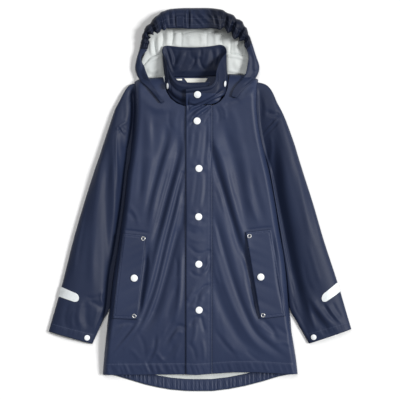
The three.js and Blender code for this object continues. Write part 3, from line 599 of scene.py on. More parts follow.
def placket_height(x, y):
    soft = fold_height(PLACKET_CREASES, x, y) + fold_height(NECK_FOLDS, x, y) + snap_dimples(x, y)
    wave = puckers(x - PLACKET_SEWN_AT, y, 3, 0.16, 9) + groove(x - PLACKET_SEWN_AT, 1.3, 0.5)
    edge = eased(PLACKET_LEFT - 0.5, PLACKET_LEFT + 4, x) * eased(PLACKET_RIGHT + 0.2, PLACKET_RIGHT - 3, x)
    return front_height(x, y) + placket_raise(x) + soft * edge + wave


print("front at the chest", np.round(front_height(np.array([60.0]), np.array([100.0])), 1), "mm up")

# %% [markdown]
# ## Making a piece of cloth
# Each piece starts as a flat grid, the cut cloth, and every point of it is laid where the pattern says. The
# grid keeps its cut as a UV map. A Solidify modifier gives the wall, shell outside and pale knit inside.

# %% Cloth helpers
def mesh_object(name, bm, finishes, node=None):
    """A finished piece, riding on the coat and standing for its node."""
    mesh = bpy.data.meshes.new(name)
    bm.to_mesh(mesh)
    bm.free()
    for finish in finishes:
        mesh.materials.append(finish)
    mesh.shade_smooth()
    piece = bpy.data.objects.new(name, mesh)
    bpy.context.scene.collection.objects.link(piece)
    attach(piece, "root")
    if node:
        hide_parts(node)
    return piece


def spread(low, high, count, crowd=0.0):
    """Shares from low to high, closer together at both ends when crowd is above 0."""
    t = np.linspace(0, 1, count)
    return mix(low, high, mix(t, (1 - np.cos(np.pi * t)) / 2, crowd))


def laid_grid(columns, rows, surface, across=None, size=(1, 1)):
    """A grid of cloth with each point laid on a surface that is given by two shares."""
    bm = bmesh.new()
    bm.loops.layers.uv.new("cut")
    bmesh.ops.create_grid(bm, x_segments=columns, y_segments=rows, size=0.5, calc_uvs=True)
    verts = list(bm.verts)
    u, v = np.array([vert.co[:2] for vert in verts]).T + 0.5
    if across is not None:
        u = np.interp(u, np.linspace(0, 1, len(across)), across)
    for vert, point in zip(verts, surface(u, v) * MM):
        vert.co = point
    cut = bm.loops.layers.uv.active
    for face in bm.faces:
        for loop in face.loops:
            loop[cut].uv = (loop[cut].uv[0] * size[0], loop[cut].uv[1] * size[1])
    return bm


def face_up(bm, up):
    bm.normal_update()
    if sum(face.normal.z * face.calc_area() for face in bm.faces) * up < 0:
        bmesh.ops.reverse_faces(bm, faces=bm.faces)


def cloth_piece(name, bm, finishes, node, wall=CLOTH, up=1, offset=-1, inner=1):
    """A sewn piece, its faces turned up or down and its thickness given inwards from the shell."""
    if up:
        face_up(bm, up)
    piece = mesh_object(name, bm, finishes, node)
    solid = piece.modifiers.new("wall", "SOLIDIFY")
    solid.thickness, solid.offset = wall * MM, offset
    solid.material_offset, solid.material_offset_rim = inner, 0
    print(name, len(piece.data.polygons), "faces")
    return piece


def places(x, y, z):
    return np.stack(np.broadcast_arrays(x, y, z), axis=1)


# %% [markdown]
# ## The surface under the coat
# A plain white sheet with the very slight tooth of matt paper, too large for its edge to be seen.

# %% White surface
white_surface = grained(
    "white_surface", 900, 2, (0.92, 0.92, 0.92, 1), (0.88, 0.88, 0.88, 1), 0.8, 0.1, 0.00005, 0.3)
floor_bm = bmesh.new()
bmesh.ops.create_grid(floor_bm, x_segments=2, y_segments=2, size=4)
floor_mesh = bpy.data.meshes.new("surface")
floor_bm.to_mesh(floor_mesh)
floor_bm.free()
floor_mesh.materials.append(white_surface)
floor = bpy.data.objects.new("surface", floor_mesh)
bpy.context.scene.collection.objects.link(floor)
floor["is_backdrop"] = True
print("surface", floor.dimensions[:2])

# %% [markdown]
# ## The back
# One piece from the shoulders to the longer, rounded tail. It lies face down, so its pale inside shows as a
# crescent above the turned-up hem. Inside the neck and along the side seams the shell is turned in, navy on
# both sides, which also paints shade into the neck and into the gaps beside the sleeves.

# %% Back panel
NECK_FACING = 190
NECK_FACING_HALF = 66
SEAM_ALLOWANCE = 8
BACK_REACH = 1.6


TURNED_IN_AND_SHADED = [navy_cloth, pale_inside, navy_cloth, navy_cloth]


def turn_in_seams_and_shade_gaps(bm):
    """Inside the neck and along the side seams the cloth is navy on both sides: turned-in shell, and painted
    shade.
    """
    for face in bm.faces:
        x, y, _ = face.calc_center_median() / MM
        in_neck = y > NECK_FACING and abs(x + 5) < NECK_FACING_HALF
        from_left, from_right = x - float(read(BODY, "left", y, "y")), float(read(BODY, "right", y, "y")) - x
        if in_neck or min(from_left, from_right) < SEAM_ALLOWANCE:
            face.material_index = 2


def back_surface(u, v):
    tail_x = mix(TAIL["x"][0], TAIL["x"][-1], u)
    top_x = mix(-129.4, 114.4, u)
    y = mix(read_straight(TAIL, "y", tail_x, "x"), read_straight(SHOULDER, "y", top_x, "x"), v)
    out = BACK_REACH * eased(-270, -230, y)
    x = mix(read(BODY, "left", y, "y") - out, read(BODY, "right", y, "y") + out, u)
    settle = 0.25 * uneven_waves(x + 0.3 * y, 60) * eased(-300, -350, y)
    return places(x, y, np.maximum(0, settle))


back_bm = laid_grid(110, 160, back_surface, across=spread(0, 1, 60, 0.3))
turn_in_seams_and_shade_gaps(back_bm)
back = cloth_piece("back", back_bm, TURNED_IN_AND_SHADED, "back_panel", up=-1)

# %% [markdown]
# ## The turned-up hem of the tail
# The tail is curved, so its turned-up hem is too long for the line where it is sewn down. It puckers there in
# small uneven folds, and rolls over at the outer edge.

# %% Back hem
HEM_FACING = 24
HEM_FACING_LEFT = -186
HEM_FACING_RIGHT = 187


def hem_facing_surface(u, v):
    x = mix(HEM_FACING_LEFT, HEM_FACING_RIGHT, u)
    narrow = rounded(np.minimum(u, 1 - u) * 6)
    up = v * HEM_FACING * mix(0.5, 1, narrow)
    y = read_straight(TAIL, "y", x, "x") + 0.8 + up
    fullness = np.sin(np.pi * mix(0.12, 1, v)) * mix(0.4, 1, narrow)
    wave = 0.9 + uneven_waves(x, 9.5, 1.3) + 0.35 * uneven_waves(x + 0.4 * up, 4.3, 0.2)
    z = LIE + CLOTH + np.maximum(0, wave) * 0.75 * fullness
    return places(x + 0.8 * fullness * uneven_waves(x, 19, 2.1), y, z - 1.3 * (1 - rounded(up / 2.2)))


facing_bm = laid_grid(420, 14, hem_facing_surface)
facing = cloth_piece("back_hem", facing_bm, [navy_cloth, pale_inside], "back_hem_facing", 1.2)

# %% [markdown]
# ## The fronts
# Each front runs from its side edge to the closed middle, its columns spread between the two, and follows the
# curve of the neck at the top.

# %% Fronts
LEFT_TOP = table("x y", """
    -130 236.6; -121 242; -108 244; -92 245.2; -73 246.2; -70.6 232; -67 216; -59 202.6; -46 192.6;
    -30 187; -12 186""",
    (LEFT_FRONT_REACH, 186.4))
RIGHT_TOP = table("x y", """
    115 240.8; 108 245.4; 97 249.6; 80 252; 60 252.6; 57.4 238; 54.6 222; 49 207; 41 197.4; 32 191.4""",
    (PLACKET_RIGHT + SEAM_GAP, 188.4))


def front_surface(side, top, centre):
    last = len(top["x"]) - 1

    def surface(u, v):
        share = mix(u**1.7, u, np.clip(u * 1.5, 0, 1))
        foot_x = mix(read(BODY, side, BODY["y"][0], "y"), centre, share)
        top_x, top_y = (read_straight(top, c, u * last) for c in "xy")
        y = mix(read_straight(HEM, "y", foot_x, "x"), top_y, v)
        top_edge = read(BODY, side, top_y, "y")
        top_share = (top_x - top_edge) / (centre - top_edge)
        x = mix(read(BODY, side, y, "y"), centre, mix(share, top_share, eased(0.5, 1, v)))
        sewn = puckers(x - FRONT_SEWN_AT, y, 3, 0.16, 9, 1) + groove(x - FRONT_SEWN_AT, 1.2, 0.5)
        return places(x, y, front_height(x, y) + fold_height(SLIT_FOLDS, x, y) + sewn)

    return surface


for side, top, centre, cut in (
    ("left", LEFT_TOP, LEFT_FRONT_REACH, (0.208, 0.604, 0.104)),
    ("right", RIGHT_TOP, PLACKET_RIGHT + SEAM_GAP, (0.176, 0.606, 0.086)),
):
    front_bm = laid_grid(92, 300, front_surface(side, top, centre))
    turn_in_seams_and_shade_gaps(front_bm)
    front = cloth_piece("front_" + side + "_cloth", front_bm, TURNED_IN_AND_SHADED, "front_" + side)

# %% [markdown]
# ## The placket
# The strip that carries the snaps is folded double along its free edge, which is thick and rounded and casts a
# thin dark line on the other front. Its other edge is sewn to the right front.

# %% Placket
PLACKET_FOLD = 2.4


def placket_surface(u, v):
    x = mix(PLACKET_LEFT, PLACKET_RIGHT, u)
    y = mix(read_straight(HEM, "y", x, "x"), PLACKET_TOP, v)
    rolled = 1.4 * (1 - rounded((x - PLACKET_LEFT) / PLACKET_FOLD))
    return places(x, y, placket_height(x, y) - rolled)


placket_bm = laid_grid(34, 300, placket_surface, across=np.r_[0, 0.012, 0.03, np.linspace(0.06, 1, 30)])
placket = cloth_piece("placket_cloth", placket_bm, [navy_cloth] * 2, "placket")

# %% [markdown]
# ## The sleeves
# A sleeve is a tube pressed flat. Its grid goes once round, over the top and back under, and is welded where
# its sides meet. The outer fold stays slightly rounded, and long soft folds run down from the armhole.

# %% Sleeves
SLEEVE_COLUMNS = "outX outY inX inY crown hug"
SLEEVES = {}
SLEEVES["left"] = table(SLEEVE_COLUMNS, """
    -130.9 234 -140.3 83 10 1; -166 228 -141.6 78 15 0.62; -180.5 192 -143.6 68 20 0.3;
    -183.3 160 -146.6 50 22 0.1; -196 106 -149.8 16 23 0; -212 58 -154.4 -22 23 0; -233 -8 -163 -82 22 0;
    -254 -80 -172 -140 21 0; -270 -144 -178.6 -190 20 0; -280 -182 -182.4 -219 19 0;
    -291 -220 -194.6 -242 18 0; -303.5 -263 -215.8 -288.6 15 0""")
SLEEVES["right"] = table(SLEEVE_COLUMNS, """
    116 237 132.8 83 10 1; 168 229 134.4 78 15 0.62; 174.5 192 136.8 68 20 0.3; 178.2 160 140.8 50 22 0.1;
    191.5 106 146.8 16 23 0; 206 58 153.4 -22 23 0; 227 -8 163.2 -82 22 0; 248 -80 172 -140 21 0;
    269 -144 177 -190 20 0; 281 -182 180 -219 19 0; 292 -220 192.6 -242 18 0;
    303.5 -258.6 218.6 -287.8 15 0""")
SLEEVE_FOLDS = folds("""
    9 2.4 -198,96 -205,20 -211,-50 -215,-120 -214,-182;
    8 -3 -182,104 -186,40 -187,-40 -184,-120 -186,-178; 7 3 -172,124 -171,60 -170,0 -172,-60;
    7 -3.6 -151,142 -153,116 -148,94; 6 1.8 -236,-198 -243,-228 -239,-256;
    7 -1.8 -226,-204 -228,-232 -224,-258;
    12 -10 148,150 149,84 152,40 157,0 166,-44 174,-84 182,-124 193,-173 203,-218 212,-264;
    7 3.4 220,-192 238,-221 268,-255; 8 -3 224,-216 240,-244 258,-264; 5 -4.4 119,210 122,187 120,158;
    5 -3.6 132,177 146,171 162,172""")
SLEEVE_CREASES = folds("""
    3 2 -167,134 -167,98 -165,60 -165,20; 3 2.2 -168,140 -158,150 -144,157;
    2.5 -1.8 -164,135 -156,142 -148,138; 2 1.4 -160,146 -154,138 -149,130;
    2 -1.2 -166,148 -160,140 -156,132; 4 1.6 -146,158 -141,176 -138,196;
    4 -1.2 -154,198 -152,176 -154,160; 5 -1.4 -222,-202 -208,-208 -196,-218;
    2.4 1.2 -189,-206 -202,-240 -216,-272; 5 -1.2 -262,-206 -270,-232 -268,-260;
    4 1 -250,-216 -256,-236 -254,-258; 3 1.4 -194,-182 -198,-196 -192,-212;
    5 0.9 -232,-30 -244,-90 -254,-150; 5 -0.9 -222,0 -234,-60 -246,-130;
    4 -0.9 -196,-190 -212,-196 -228,-194; 4 0.8 -206,-216 -208,-236 -214,-256;
    2.2 -2.6 121,132 136,148 152,165; 1.9 2 123,129 138,144 154,160; 2.4 -2.8 125,124 141,140 158,157;
    4 1.4 141,128 144,104 142,80; 4 1.4 128,200 132,184 130,164; 3 1.4 252,-206 266,-227 282,-246;
    3.5 -1.6 247,-208 258,-228 272,-244; 4 -1.2 264,-204 274,-222 284,-236;
    4 1.2 214,-200 222,-232 232,-262; 4 -1 240,-258 252,-268 268,-266; 6 0.9 196,60 206,0 220,-70;
    6 -0.9 208,40 222,-20 238,-90; 5 0.9 214,-80 228,-130 240,-168; 5 -0.9 206,-120 214,-160 226,-186;
    3 1.2 166,-92 178,-136 190,-184; 3 -1 174,-160 184,-196 196,-232""")
VALLEY_DEEP = {"left": 13, "right": 3}
VALLEY_WIDE = 12
SLEEVE_LINED_ABOVE = -205
SLEEVE_EDGE_HIGH = 3.6
SLEEVE_LONG = 560
CUFF_STITCH_UP = 18
TOP_PART = 0.62
UNDER_IN = 0.012


def sleeve_top(rows, side, along, across, creased=True):
    """Points on the top of a sleeve: along from armhole to cuff, across from outer to inner edge."""
    row = np.broadcast_to(along, np.shape(across)) * (len(rows["hug"]) - 1)
    out_x, out_y, in_x, in_y, crown, hug = (read(rows, c, row) for c in SLEEVE_COLUMNS.split())
    hug = np.clip(hug, 0, 1)
    y = mix(out_y, in_y, across)
    away = -ARMHOLE_GAP if side == "left" else ARMHOLE_GAP
    seam = read(BODY, side, y, "y") + away
    wanted = mix(mix(out_x, in_x, across), seam, hug)
    x = np.minimum(wanted, seam) if side == "left" else np.maximum(wanted, seam)
    lean = mix(1, 0.62, eased(0.45, 0.95, across))
    round_over = rounded(across / 0.34) * rounded((1 - across) / 0.2) * lean
    high = SLEEVE_EDGE_HIGH + (crown - SLEEVE_EDGE_HIGH) * round_over
    from_shoulder = read_straight(SHOULDER, "y", x, "x") - y
    seam_high = LIE + CLOTH + read(BODY, "edge", y, "y") * rounded(from_shoulder / SHOULDER_ROUND)
    folds = fold_height(SLEEVE_FOLDS, x, y)
    if creased:
        folds = folds + fold_height(SLEEVE_CREASES, x, y)
    folds = folds * (1 - hug) * eased(0, 0.12, np.minimum(across, 1 - across))
    kept_sewn = mix(1, eased(0, 6, np.abs(x - seam)), hug)
    valley = VALLEY_DEEP[side] * np.exp(-(((x - seam) / VALLEY_WIDE) ** 2)) * eased(232, 206, y) * kept_sewn
    folds = folds - valley * eased(SLEEVE_EDGE_HIGH, 12, high)
    return places(x, y, mix(high, np.maximum(seam_high, SLEEVE_EDGE_HIGH), hug) + folds)


def cuff_relief(along, across):
    """Doubled band at the cuff and its sewn groove."""
    up = (1 - along) * SLEEVE_LONG
    band = 0.5 * eased(CUFF_STITCH_UP + 2, CUFF_STITCH_UP - 1, up) + groove(up - CUFF_STITCH_UP, 1.6, 0.45)
    return band + puckers(up - 14, across * 90, 8, 0.3, 12)


def sleeve_surface(rows, side):
    def surface(u, v):
        over = u <= TOP_PART
        across = np.where(over, u / TOP_PART, mix(1 - UNDER_IN, UNDER_IN, (u - TOP_PART) / (1 - TOP_PART)))
        points = sleeve_top(rows, side, v, across)
        points[:, 2] += cuff_relief(v, across) * eased(0, 0.1, np.minimum(across, 1 - across))
        points[:, 2] = np.where(over, np.maximum(points[:, 2], SLEEVE_EDGE_HIGH), 0)
        return points

    return surface


sleeve_shares = np.r_[spread(0, TOP_PART, 84, 0.55), spread(TOP_PART + 0.006, 1 - 0.006, 40, 0.2), 1]
for side, rows in SLEEVES.items():
    sleeve_bm = laid_grid(124, 230, sleeve_surface(rows, side), across=sleeve_shares)
    bmesh.ops.remove_doubles(sleeve_bm, verts=sleeve_bm.verts, dist=0.02 * MM)
    bmesh.ops.recalc_face_normals(sleeve_bm, faces=sleeve_bm.faces)
    for face in sleeve_bm.faces:
        face.material_index = 2 * (face.calc_center_median().y > SLEEVE_LINED_ABOVE * MM)
    # The sleeves take the darker copy of the cloth: painted shade.
    finishes = [navy_cloth_sleeve_painted_shade, pale_inside, navy_cloth_sleeve_painted_shade, navy_cloth_sleeve_painted_shade]
    sleeve = cloth_piece("sleeve_" + side + "_cloth", sleeve_bm, finishes, "sleeve_" + side, up=0)

# %% [markdown]
# ## The collar
# A stand collar goes once round the neck. At the back it lies flat, at the front it has slumped into two soft
# ridges. Its folds are placed on its own cut: along it and up it.

# %% Collar
COLLAR = table("seamX seamY seamZ topX topY topZ bulge", """
    4 188.4 25.4 20 234.5 39 2; -28 188 25.4 -22 233.5 40 3; -45.2 195.2 26 -41 236 40 3;
    -57.4 204.8 26 -50 244 38 3; -65 218 25 -58 259 34 2; -68.4 232.6 21 -66 279 27 1;
    -68 247.4 7 -76 300 12 0; -50 247.4 3.2 -68 309 6 0; -30 247.4 3.2 -38 306.6 6 0;
    -6 247.8 3.2 -8 306 6 0; 18 248.6 3.2 20 308 6 0; 38 250 3.2 44 310.6 6 0; 53 253.4 7 54 299 13 0;
    55.4 240 19 41 279 26 2; 52.6 224 25 33 258 36 4; 46.6 208 27 30 239 42 5;
    33 194.6 28.4 21 227.4 45 5; 12 189.6 29 2 223.6 46 5; -10 188 29.4 -14 221.8 46 5""",
    (PLACKET_LEFT, 187.6, 29.4, PLACKET_LEFT, 220, 45, 4))
COLLAR_LONG = 19
COLLAR_HIGH = 10
COLLAR_LIFT = 2.2
# Below this, right of the placket's edge, the collar keeps the plain cloth; elsewhere a darker copy paints its
# shade.
COLLAR_UNSHADED_BELOW = 212
COLLAR_FOLDS = folds("""
    0.16 -1.8 6.95,9.6 6.95,5 6.98,1.5; 0.16 1.4 7.18,9.6 7.2,6 7.05,3; 0.15 -1.8 7.36,9.6 7.4,6 7.1,3.2;
    0.22 2.2 8.2,8.6 7.75,5 7.3,2.4; 0.16 -1.6 7.9,9.2 7.55,6 7.3,3.6; 0.14 -1.2 8.45,9.2 8.1,5.6 7.7,2.6;
    0.13 -2 8.92,6.8 8.84,4.6 8.45,2.3; 0.13 -1.8 9.22,6.8 9.28,4.6 9.6,2; 0.2 1.4 9.06,9.4 9.06,6 9.06,3;
    0.12 -1 8.62,9.5 8.6,8 8.66,6; 0.12 -1 9.34,9.6 9.36,8.2 9.3,6.8; 0.12 0.9 9.5,9.4 9.52,7.6 9.44,5.4;
    0.2 1.7 9.9,8.8 9.8,5.4 9.62,3; 0.2 -1.8 10.16,9.2 10.3,6 10.3,3; 0.16 1.1 10.44,9 10.56,6 10.5,3;
    0.34 -2.2 10.95,9.5 10.85,6 10.7,2.4; 0.14 -1 6.6,8 6.55,6 6.62,3.6; 0.14 1 8.5,4 8.2,2.4 7.8,1.4;
    0.26 -1.6 4.3,1.6 4.7,5 5.5,9; 0.22 1.6 3.6,1.6 4.2,5 5,9; 0.24 -1.4 2.8,1.4 3.5,4 4.3,8;
    0.22 1.2 5.3,1 5.6,5 5.9,9; 0.2 1.4 12.5,8 12.9,4 13.6,1.6; 0.2 -1.4 13.9,9.2 14.3,7.6 14.8,7""")
COLLAR_RIDGES = (
    (14.6, 19.0, 9.0, 8.9, 0.6, 1.4), (15.2, 19.0, 7.7, 7.6, 0.7, -1.4),
    (0.2, 3.8, 3.4, 3.0, 0.9, 1.8), (0.4, 4.0, 5.4, 5.0, 0.8, -1.8), (1.2, 4.2, 8.2, 8.0, 0.9, 1.6),
    (0.4, 3.2, 1.2, 1.0, 0.7, -1.4),
)


def collar_flat(u, v):
    at = {c: read(COLLAR, c, u * COLLAR_LONG) for c in COLLAR}
    swell = at["bulge"] * np.sin(np.pi * v)
    x, y, z = (mix(at["seam" + axis], at["top" + axis], v) for axis in "XYZ")
    return places(x, y, z + swell)


def collar_relief(u, v):
    along, up = u * COLLAR_LONG, v * COLLAR_HIGH
    height = fold_height(COLLAR_FOLDS, along, up) * eased(0, 1, up) * eased(10, 9, up)
    for start, end, low, high, wide, tall in COLLAR_RIDGES:
        middle = mix(low, high, np.clip((along - start) / (end - start), 0, 1))
        fade = eased(start - 0.8, start + 0.4, along) * eased(end + 0.9, end - 0.2, along)
        height += tall * fade * np.exp(-(((up - middle) / wide) ** 2))
    lying = eased(5.6, 6.6, along) * eased(12.6, 11.6, along)
    height = height + groove(up - 9.0, 0.3, 0.35)
    points = collar_flat(u, v)
    height = height + fold_height(NECK_FOLDS, points[:, 0], points[:, 1]) * eased(13.6, 14.2, along)
    return mix(-height, height + COLLAR_LIFT * eased(0, 2, up), lying)


def raised(surface, relief, out=1):
    """The same surface with a relief pushed out along its normals."""
    step = 0.002

    def shaped(u, v):
        along = surface(u + step, v) - surface(u - step, v)
        across = surface(u, v + step) - surface(u, v - step)
        normal = np.cross(along, across)
        normal /= np.linalg.norm(normal, axis=1, keepdims=True)
        return surface(u, v) + normal * (out * relief(u, v))[:, None]

    return shaped


collar_surface = raised(collar_flat, collar_relief)
collar_bm = laid_grid(420, 34, collar_surface)
# All of the collar but its lower front takes the darker copy of the cloth: painted shade in the neck.
for face in collar_bm.faces:
    x, y, _ = face.calc_center_median() / MM
    face.material_index = int(y < COLLAR_UNSHADED_BELOW and x > PLACKET_LEFT)
collar = cloth_piece("collar_cloth", collar_bm, [navy_cloth_shaded, navy_cloth], "collar", 1.4, 0, 0, 0)

# %% [markdown]
# ## The hood
# The hood lies open behind the collar. Its sides and brim are turned over at the outline, navy side up, and
# elastic gathers the brim in two places.

# %% Hood sides and brim
HOOD_COLUMNS = "outX outY edgeX edgeY crown edge gather"
HOOD = table(HOOD_COLUMNS, """
    -79 193 -71.4 197.4 30 31 0; -91 209 -80.6 206.6 28 31 0; -106 226 -90 223 22 28 0;
    -122 242 -103 245 15 22 0; -130 263 -111 265 15 18 0; -127 283 -117.6 285 15 16 0;
    -121.4 303 -105 301 17 17 0; -117 322 -101.4 320 21 20 1; -112 340 -99 330 25 24 1;
    -99 355 -90 333.4 29 28 1; -84 371 -76 337 32 31 1; -66 380.4 -62 341.4 34 33 0.3;
    -40 383.6 -40 342 35 33 0; -10 384 -12 340.6 35 33 0; 20 383.8 18 342 35 33 0;
    43 380.6 38 340 34 33 0.4; 59 373 51 340 33 31 1; 73 364 61 332 31 28 1; 87 353 73 322 28 25 1;
    96 336 84 318 25 22 1; 104 315 93 300 21 19 0; 112 290 97 287 17 18 0; 119 268 94.4 267 16 19 0;
    116 252 91 252 16 21 0; 108 240 83 240 17 24 0; 95 228 74 231 22 29 0; 83 216 66.4 219 27 31 0;
    73 203.4 62.4 206.4 30 31 0""")
HOOD_SECTION = table("turn out lift", """
    1 0 0; 0.3 0 0; 0.06 0 0.14; 0 0 0.45; 0 0.1 0.82; 0 0.34 1; 0 0.68 1; 0 1 1""")
HOOD_STEPS = 7
CHANNEL_LINES = (6.35, 5.55)
BRIM_FIRST, BRIM_LAST = 6, 20
HOOD_TURN_UNDER = 11
FLAP_TURN_UNDER = 4
GATHER_DEEP = 4.0


GATHER_PUFFS = table("place puff", """
    6 0; 6.3 -0.3; 6.7 0.4; 7 -0.4; 7.4 0.6; 7.8 -0.9; 8.2 0.5; 8.6 0.9; 8.9 -0.7; 9.3 0.8; 9.7 0.3;
    10 -0.8; 10.4 0.4; 10.8 -0.5; 11.2 0.3; 12 0; 13.6 0; 14.2 0.3; 14.6 -0.5; 15 0.6; 15.6 -0.9;
    16.2 0.6; 16.6 1; 17 -0.9; 17.4 0.7; 17.8 1; 18.2 -1; 18.6 0.9; 18.9 0.5; 19.2 -0.9; 19.6 0.7; 20 0;
    27 0""")


def gathers(place):
    """Uneven puffs and notches where the elastic draws the brim in."""
    fine = 0.12 * uneven_waves(place, 0.31, 0.8)
    return read(GATHER_PUFFS, "puff", place, "place") + fine


def hood_point(place, step):
    at = {c: read(HOOD, c, place) for c in HOOD}
    inward = np.stack([at["edgeX"] - at["outX"], at["edgeY"] - at["outY"]])
    reach = np.hypot(*inward)
    turned, out, lift = (read(HOOD_SECTION, c, step) for c in HOOD_SECTION)
    turned, out, lift = np.maximum(turned, 0), np.clip(out, 0, 1), np.clip(lift, 0, 1)
    shoulder = read_straight(SHOULDER, "y", (at["outX"] + at["edgeX"]) / 2, "x")
    on_shoulder = eased(12, 3, np.minimum(at["outY"], at["edgeY"]) - shoulder)
    across = mix(HOOD_TURN_UNDER, FLAP_TURN_UNDER, on_shoulder) * turned / reach + out
    x, y = at["outX"] + inward[0] * across, at["outY"] + inward[1] * across
    under = np.maximum(front_height(x, y), front_height(at["outX"], at["outY"]))
    floor_high = on_shoulder * (under + LIE + 1)
    gather = eased(0, 0.8, at["gather"]) * GATHER_DEEP * gathers(place)
    top = mix(at["crown"], at["edge"], eased(0.3, 1, out)) + gather * mix(0.5, 1.0, out)
    z = mix(floor_high, np.maximum(top, floor_high + 2.4), lift)
    ruffle = gather * mix(-0.3, 1, out) / reach
    return places(x + inward[0] * ruffle, y + inward[1] * ruffle, z)


HOOD_CREASES = folds("""
    2.2 -1.6 -98,354 -92,346 -88,336; 2.2 1.3 -90,362 -85,352 -82,340; 3 -1.8 -79,374 -75,360 -72,344;
    3 1.6 -70,376 -68,362 -66,346; 2.2 -1.4 -62,380 -61,362 -59,345; 2.4 1.2 -56,380 -54,364 -53,346;
    2.6 -1.3 -50,380 -51,362 -49,346; 1.5 -1.6 -48,364 -40,363.5 -31,364;
    1.6 1.2 -48,361 -40,360.5 -32,361; 2.2 1.2 -27,382 -28,364 -27,344;
    1.7 -2.6 -22.6,384 -22.6,362 -22.6,340; 2.2 1.2 -18,382 -18,362 -18,344;
    2.6 -1.6 -14,376 -4,364 8,352; 2.4 1.5 -15,370 -4,359 8,346; 2.4 -1.2 -12,360 -4,352 4,346;
    2.6 1.4 -6,380 6,366 20,354; 2.6 -1.4 4,381 14,367 26,356; 2.2 1.2 14,382 20,370 30,358;
    2.6 -1.8 20,381 27,366 33,347; 2.2 1.3 30,380 35,364 38,348; 2.6 -1.6 36,378 42,362 44,348;
    2.4 1.2 -44,358 -38,352 -34,346; 2.2 -1.4 -108,332 -104,328 -100,323;
    2 1.2 -114,336 -108,330 -103,318; 2.4 -1.8 48,374 52,360 50,347; 2.2 1.4 56,372 58,356 56,342;
    2.4 -1.8 66,366 67,350 64,338; 2.2 1.4 74,360 72,346 69,334; 2.4 -1.8 82,354 79,340 76,328;
    2.2 1.2 90,344 86,334 82,326; 2.4 -1.6 96,334 92,326 88,316; 2 1.2 100,322 96,314 92,308;
    3.5 1.2 -124,256 -120,272 -121,290; 3 -1.2 -116,258 -114,272 -117,286;
    3.5 -1.3 104,258 106,274 101,292; 3 1.3 112,258 108,266 108,282; 3 1.2 98,240 106,248 114,254;
    3 -1.2 86,226 98,236 110,244""")


def hood_relief(place, step):
    points = hood_point(place, step)
    shown = eased(3.2, 4.6, step)
    creases = fold_height(HOOD_CREASES, points[:, 0], points[:, 1]) * shown
    channel = eased(5.5, 7.2, place) * eased(21, 19.5, place)
    sewn = groove(step - CHANNEL_LINES[0], 0.1, 0.5) + groove(step - CHANNEL_LINES[1], 0.1, 0.35)
    return creases + sewn * channel * shown


def hood_surface(start, end):
    def between(shape):
        return lambda u, v: shape(mix(start, end, u), v * HOOD_STEPS)

    return raised(between(hood_point), between(hood_relief), -1)


HOOD_SEAM = 0.02
HOOD_PIECES = {
    "hood_side_left": (0, BRIM_FIRST - HOOD_SEAM, 90, (0.060, 0.155, 0.0036)),
    "hood_brim": (BRIM_FIRST, BRIM_LAST, 420, (0.400, 0.090, 0.0225)),
    "hood_side_right": (BRIM_LAST + HOOD_SEAM, 27, 100, (0.070, 0.165, 0.0044)),
}
for node, (start, end, columns, cut) in HOOD_PIECES.items():
    hood_bm = laid_grid(columns, 34, hood_surface(start, end))
    # Brim and sides take darker copies of the cloth: painted shade, deepest in the brim's gathers.
    finishes = [navy_cloth_brim_painted_shade if node == "hood_brim" else navy_cloth_sleeve_painted_shade] * 2
    part = cloth_piece(node + "_cloth", hood_bm, finishes, node, 1.3)

# %% [markdown]
# ## The inside of the hood
# The pale back of the hood lies inside up, softly crumpled, with seams and a sewn channel across it.

# %% Hood back
HOOD_BACK_FIRST = 3.9
HOOD_BACK_LAST = 22.6
HOOD_BACK_FOLDS = folds("""
    1.8 -1.8 -38,340 -37,324 -38,306; 1.8 -1.6 14,342 13,326 13,308; 2.6 -2.4 -56,344 -54,328 -58,308;
    4 2.6 -66,340 -64,324 -67,308; 3 -2.4 -76,336 -74,322 -78,302; 3.4 2.4 -84,330 -83,312 -82,292;
    2.6 -2.4 -92,322 -91,306 -88,290; 3 2 -99,318 -98,302 -96,290; 1.8 -2.4 -114,272 -98,286 -80,292;
    3 2 -114,267 -98,280 -80,287; 1.8 -2.2 54,294 76,292 99,284; 3 1.8 54,289 76,287 97,279;
    2.2 -2 60,330 61,314 60,294; 2.2 -2 86,318 86,304 85,288; 2 -1.6 -36,333 -10,338 14,334;
    2 1.2 -36,330 -10,335 14,331; 2 -1.6 -62,328 -46,336 -36,333; 2 -1.5 14,334 34,338 54,326;
    4 2 28,336 32,322 31,310; 3 -1.8 44,334 43,320 46,308; 4 1.8 72,324 72,310 71,296;
    3 -1.6 78,320 80,308 78,294; 6 1.2 -22,330 -20,320 -23,310; 5 1.4 -106,262 -94,258 -82,263;
    5 -1.2 -100,252 -92,250 -80,254; 6 1 66,276 78,272 90,275; 4 1.8 -47,340 -47,322 -48,308;
    1.4 -2.4 -113,270 -107,275 -102,280; 5 -1 62,264 76,260 90,263; 3 1.2 2,332 4,320 2,310""")


def hood_back_surface(u, v):
    place = mix(HOOD_BACK_FIRST, HOOD_BACK_LAST, u)
    out, edge = (np.stack([read(HOOD, c + "X", place), read(HOOD, c + "Y", place)]) for c in ("out", "edge"))
    inward = (edge - out) / np.hypot(*(edge - out))
    rim = out + inward * (HOOD_TURN_UNDER + SEAM_GAP)
    neck_x = mix(-103, 90, u)
    neck_y = read_straight(SHOULDER, "y", neck_x, "x") + 0.5
    x, y = mix(neck_x, rim[0], v), mix(neck_y, rim[1], v)
    settle = 3.0 + fold_height(HOOD_BACK_FOLDS, x, y) + 0.3 * uneven_waves(x + 0.4 * y, 34)
    under_collar = eased(-80, -72, x) * eased(58, 50, x) * eased(310, 304, y)
    return places(x, y, np.maximum(0, settle * eased(0, 0.12, v) * eased(1, 0.93, v) * (1 - under_collar)))


hood_back_bm = laid_grid(170, 120, hood_back_surface)
hood_back = cloth_piece(
    "hood_back_cloth", hood_back_bm, [navy_cloth, pale_inside], "hood_back", up=-1)

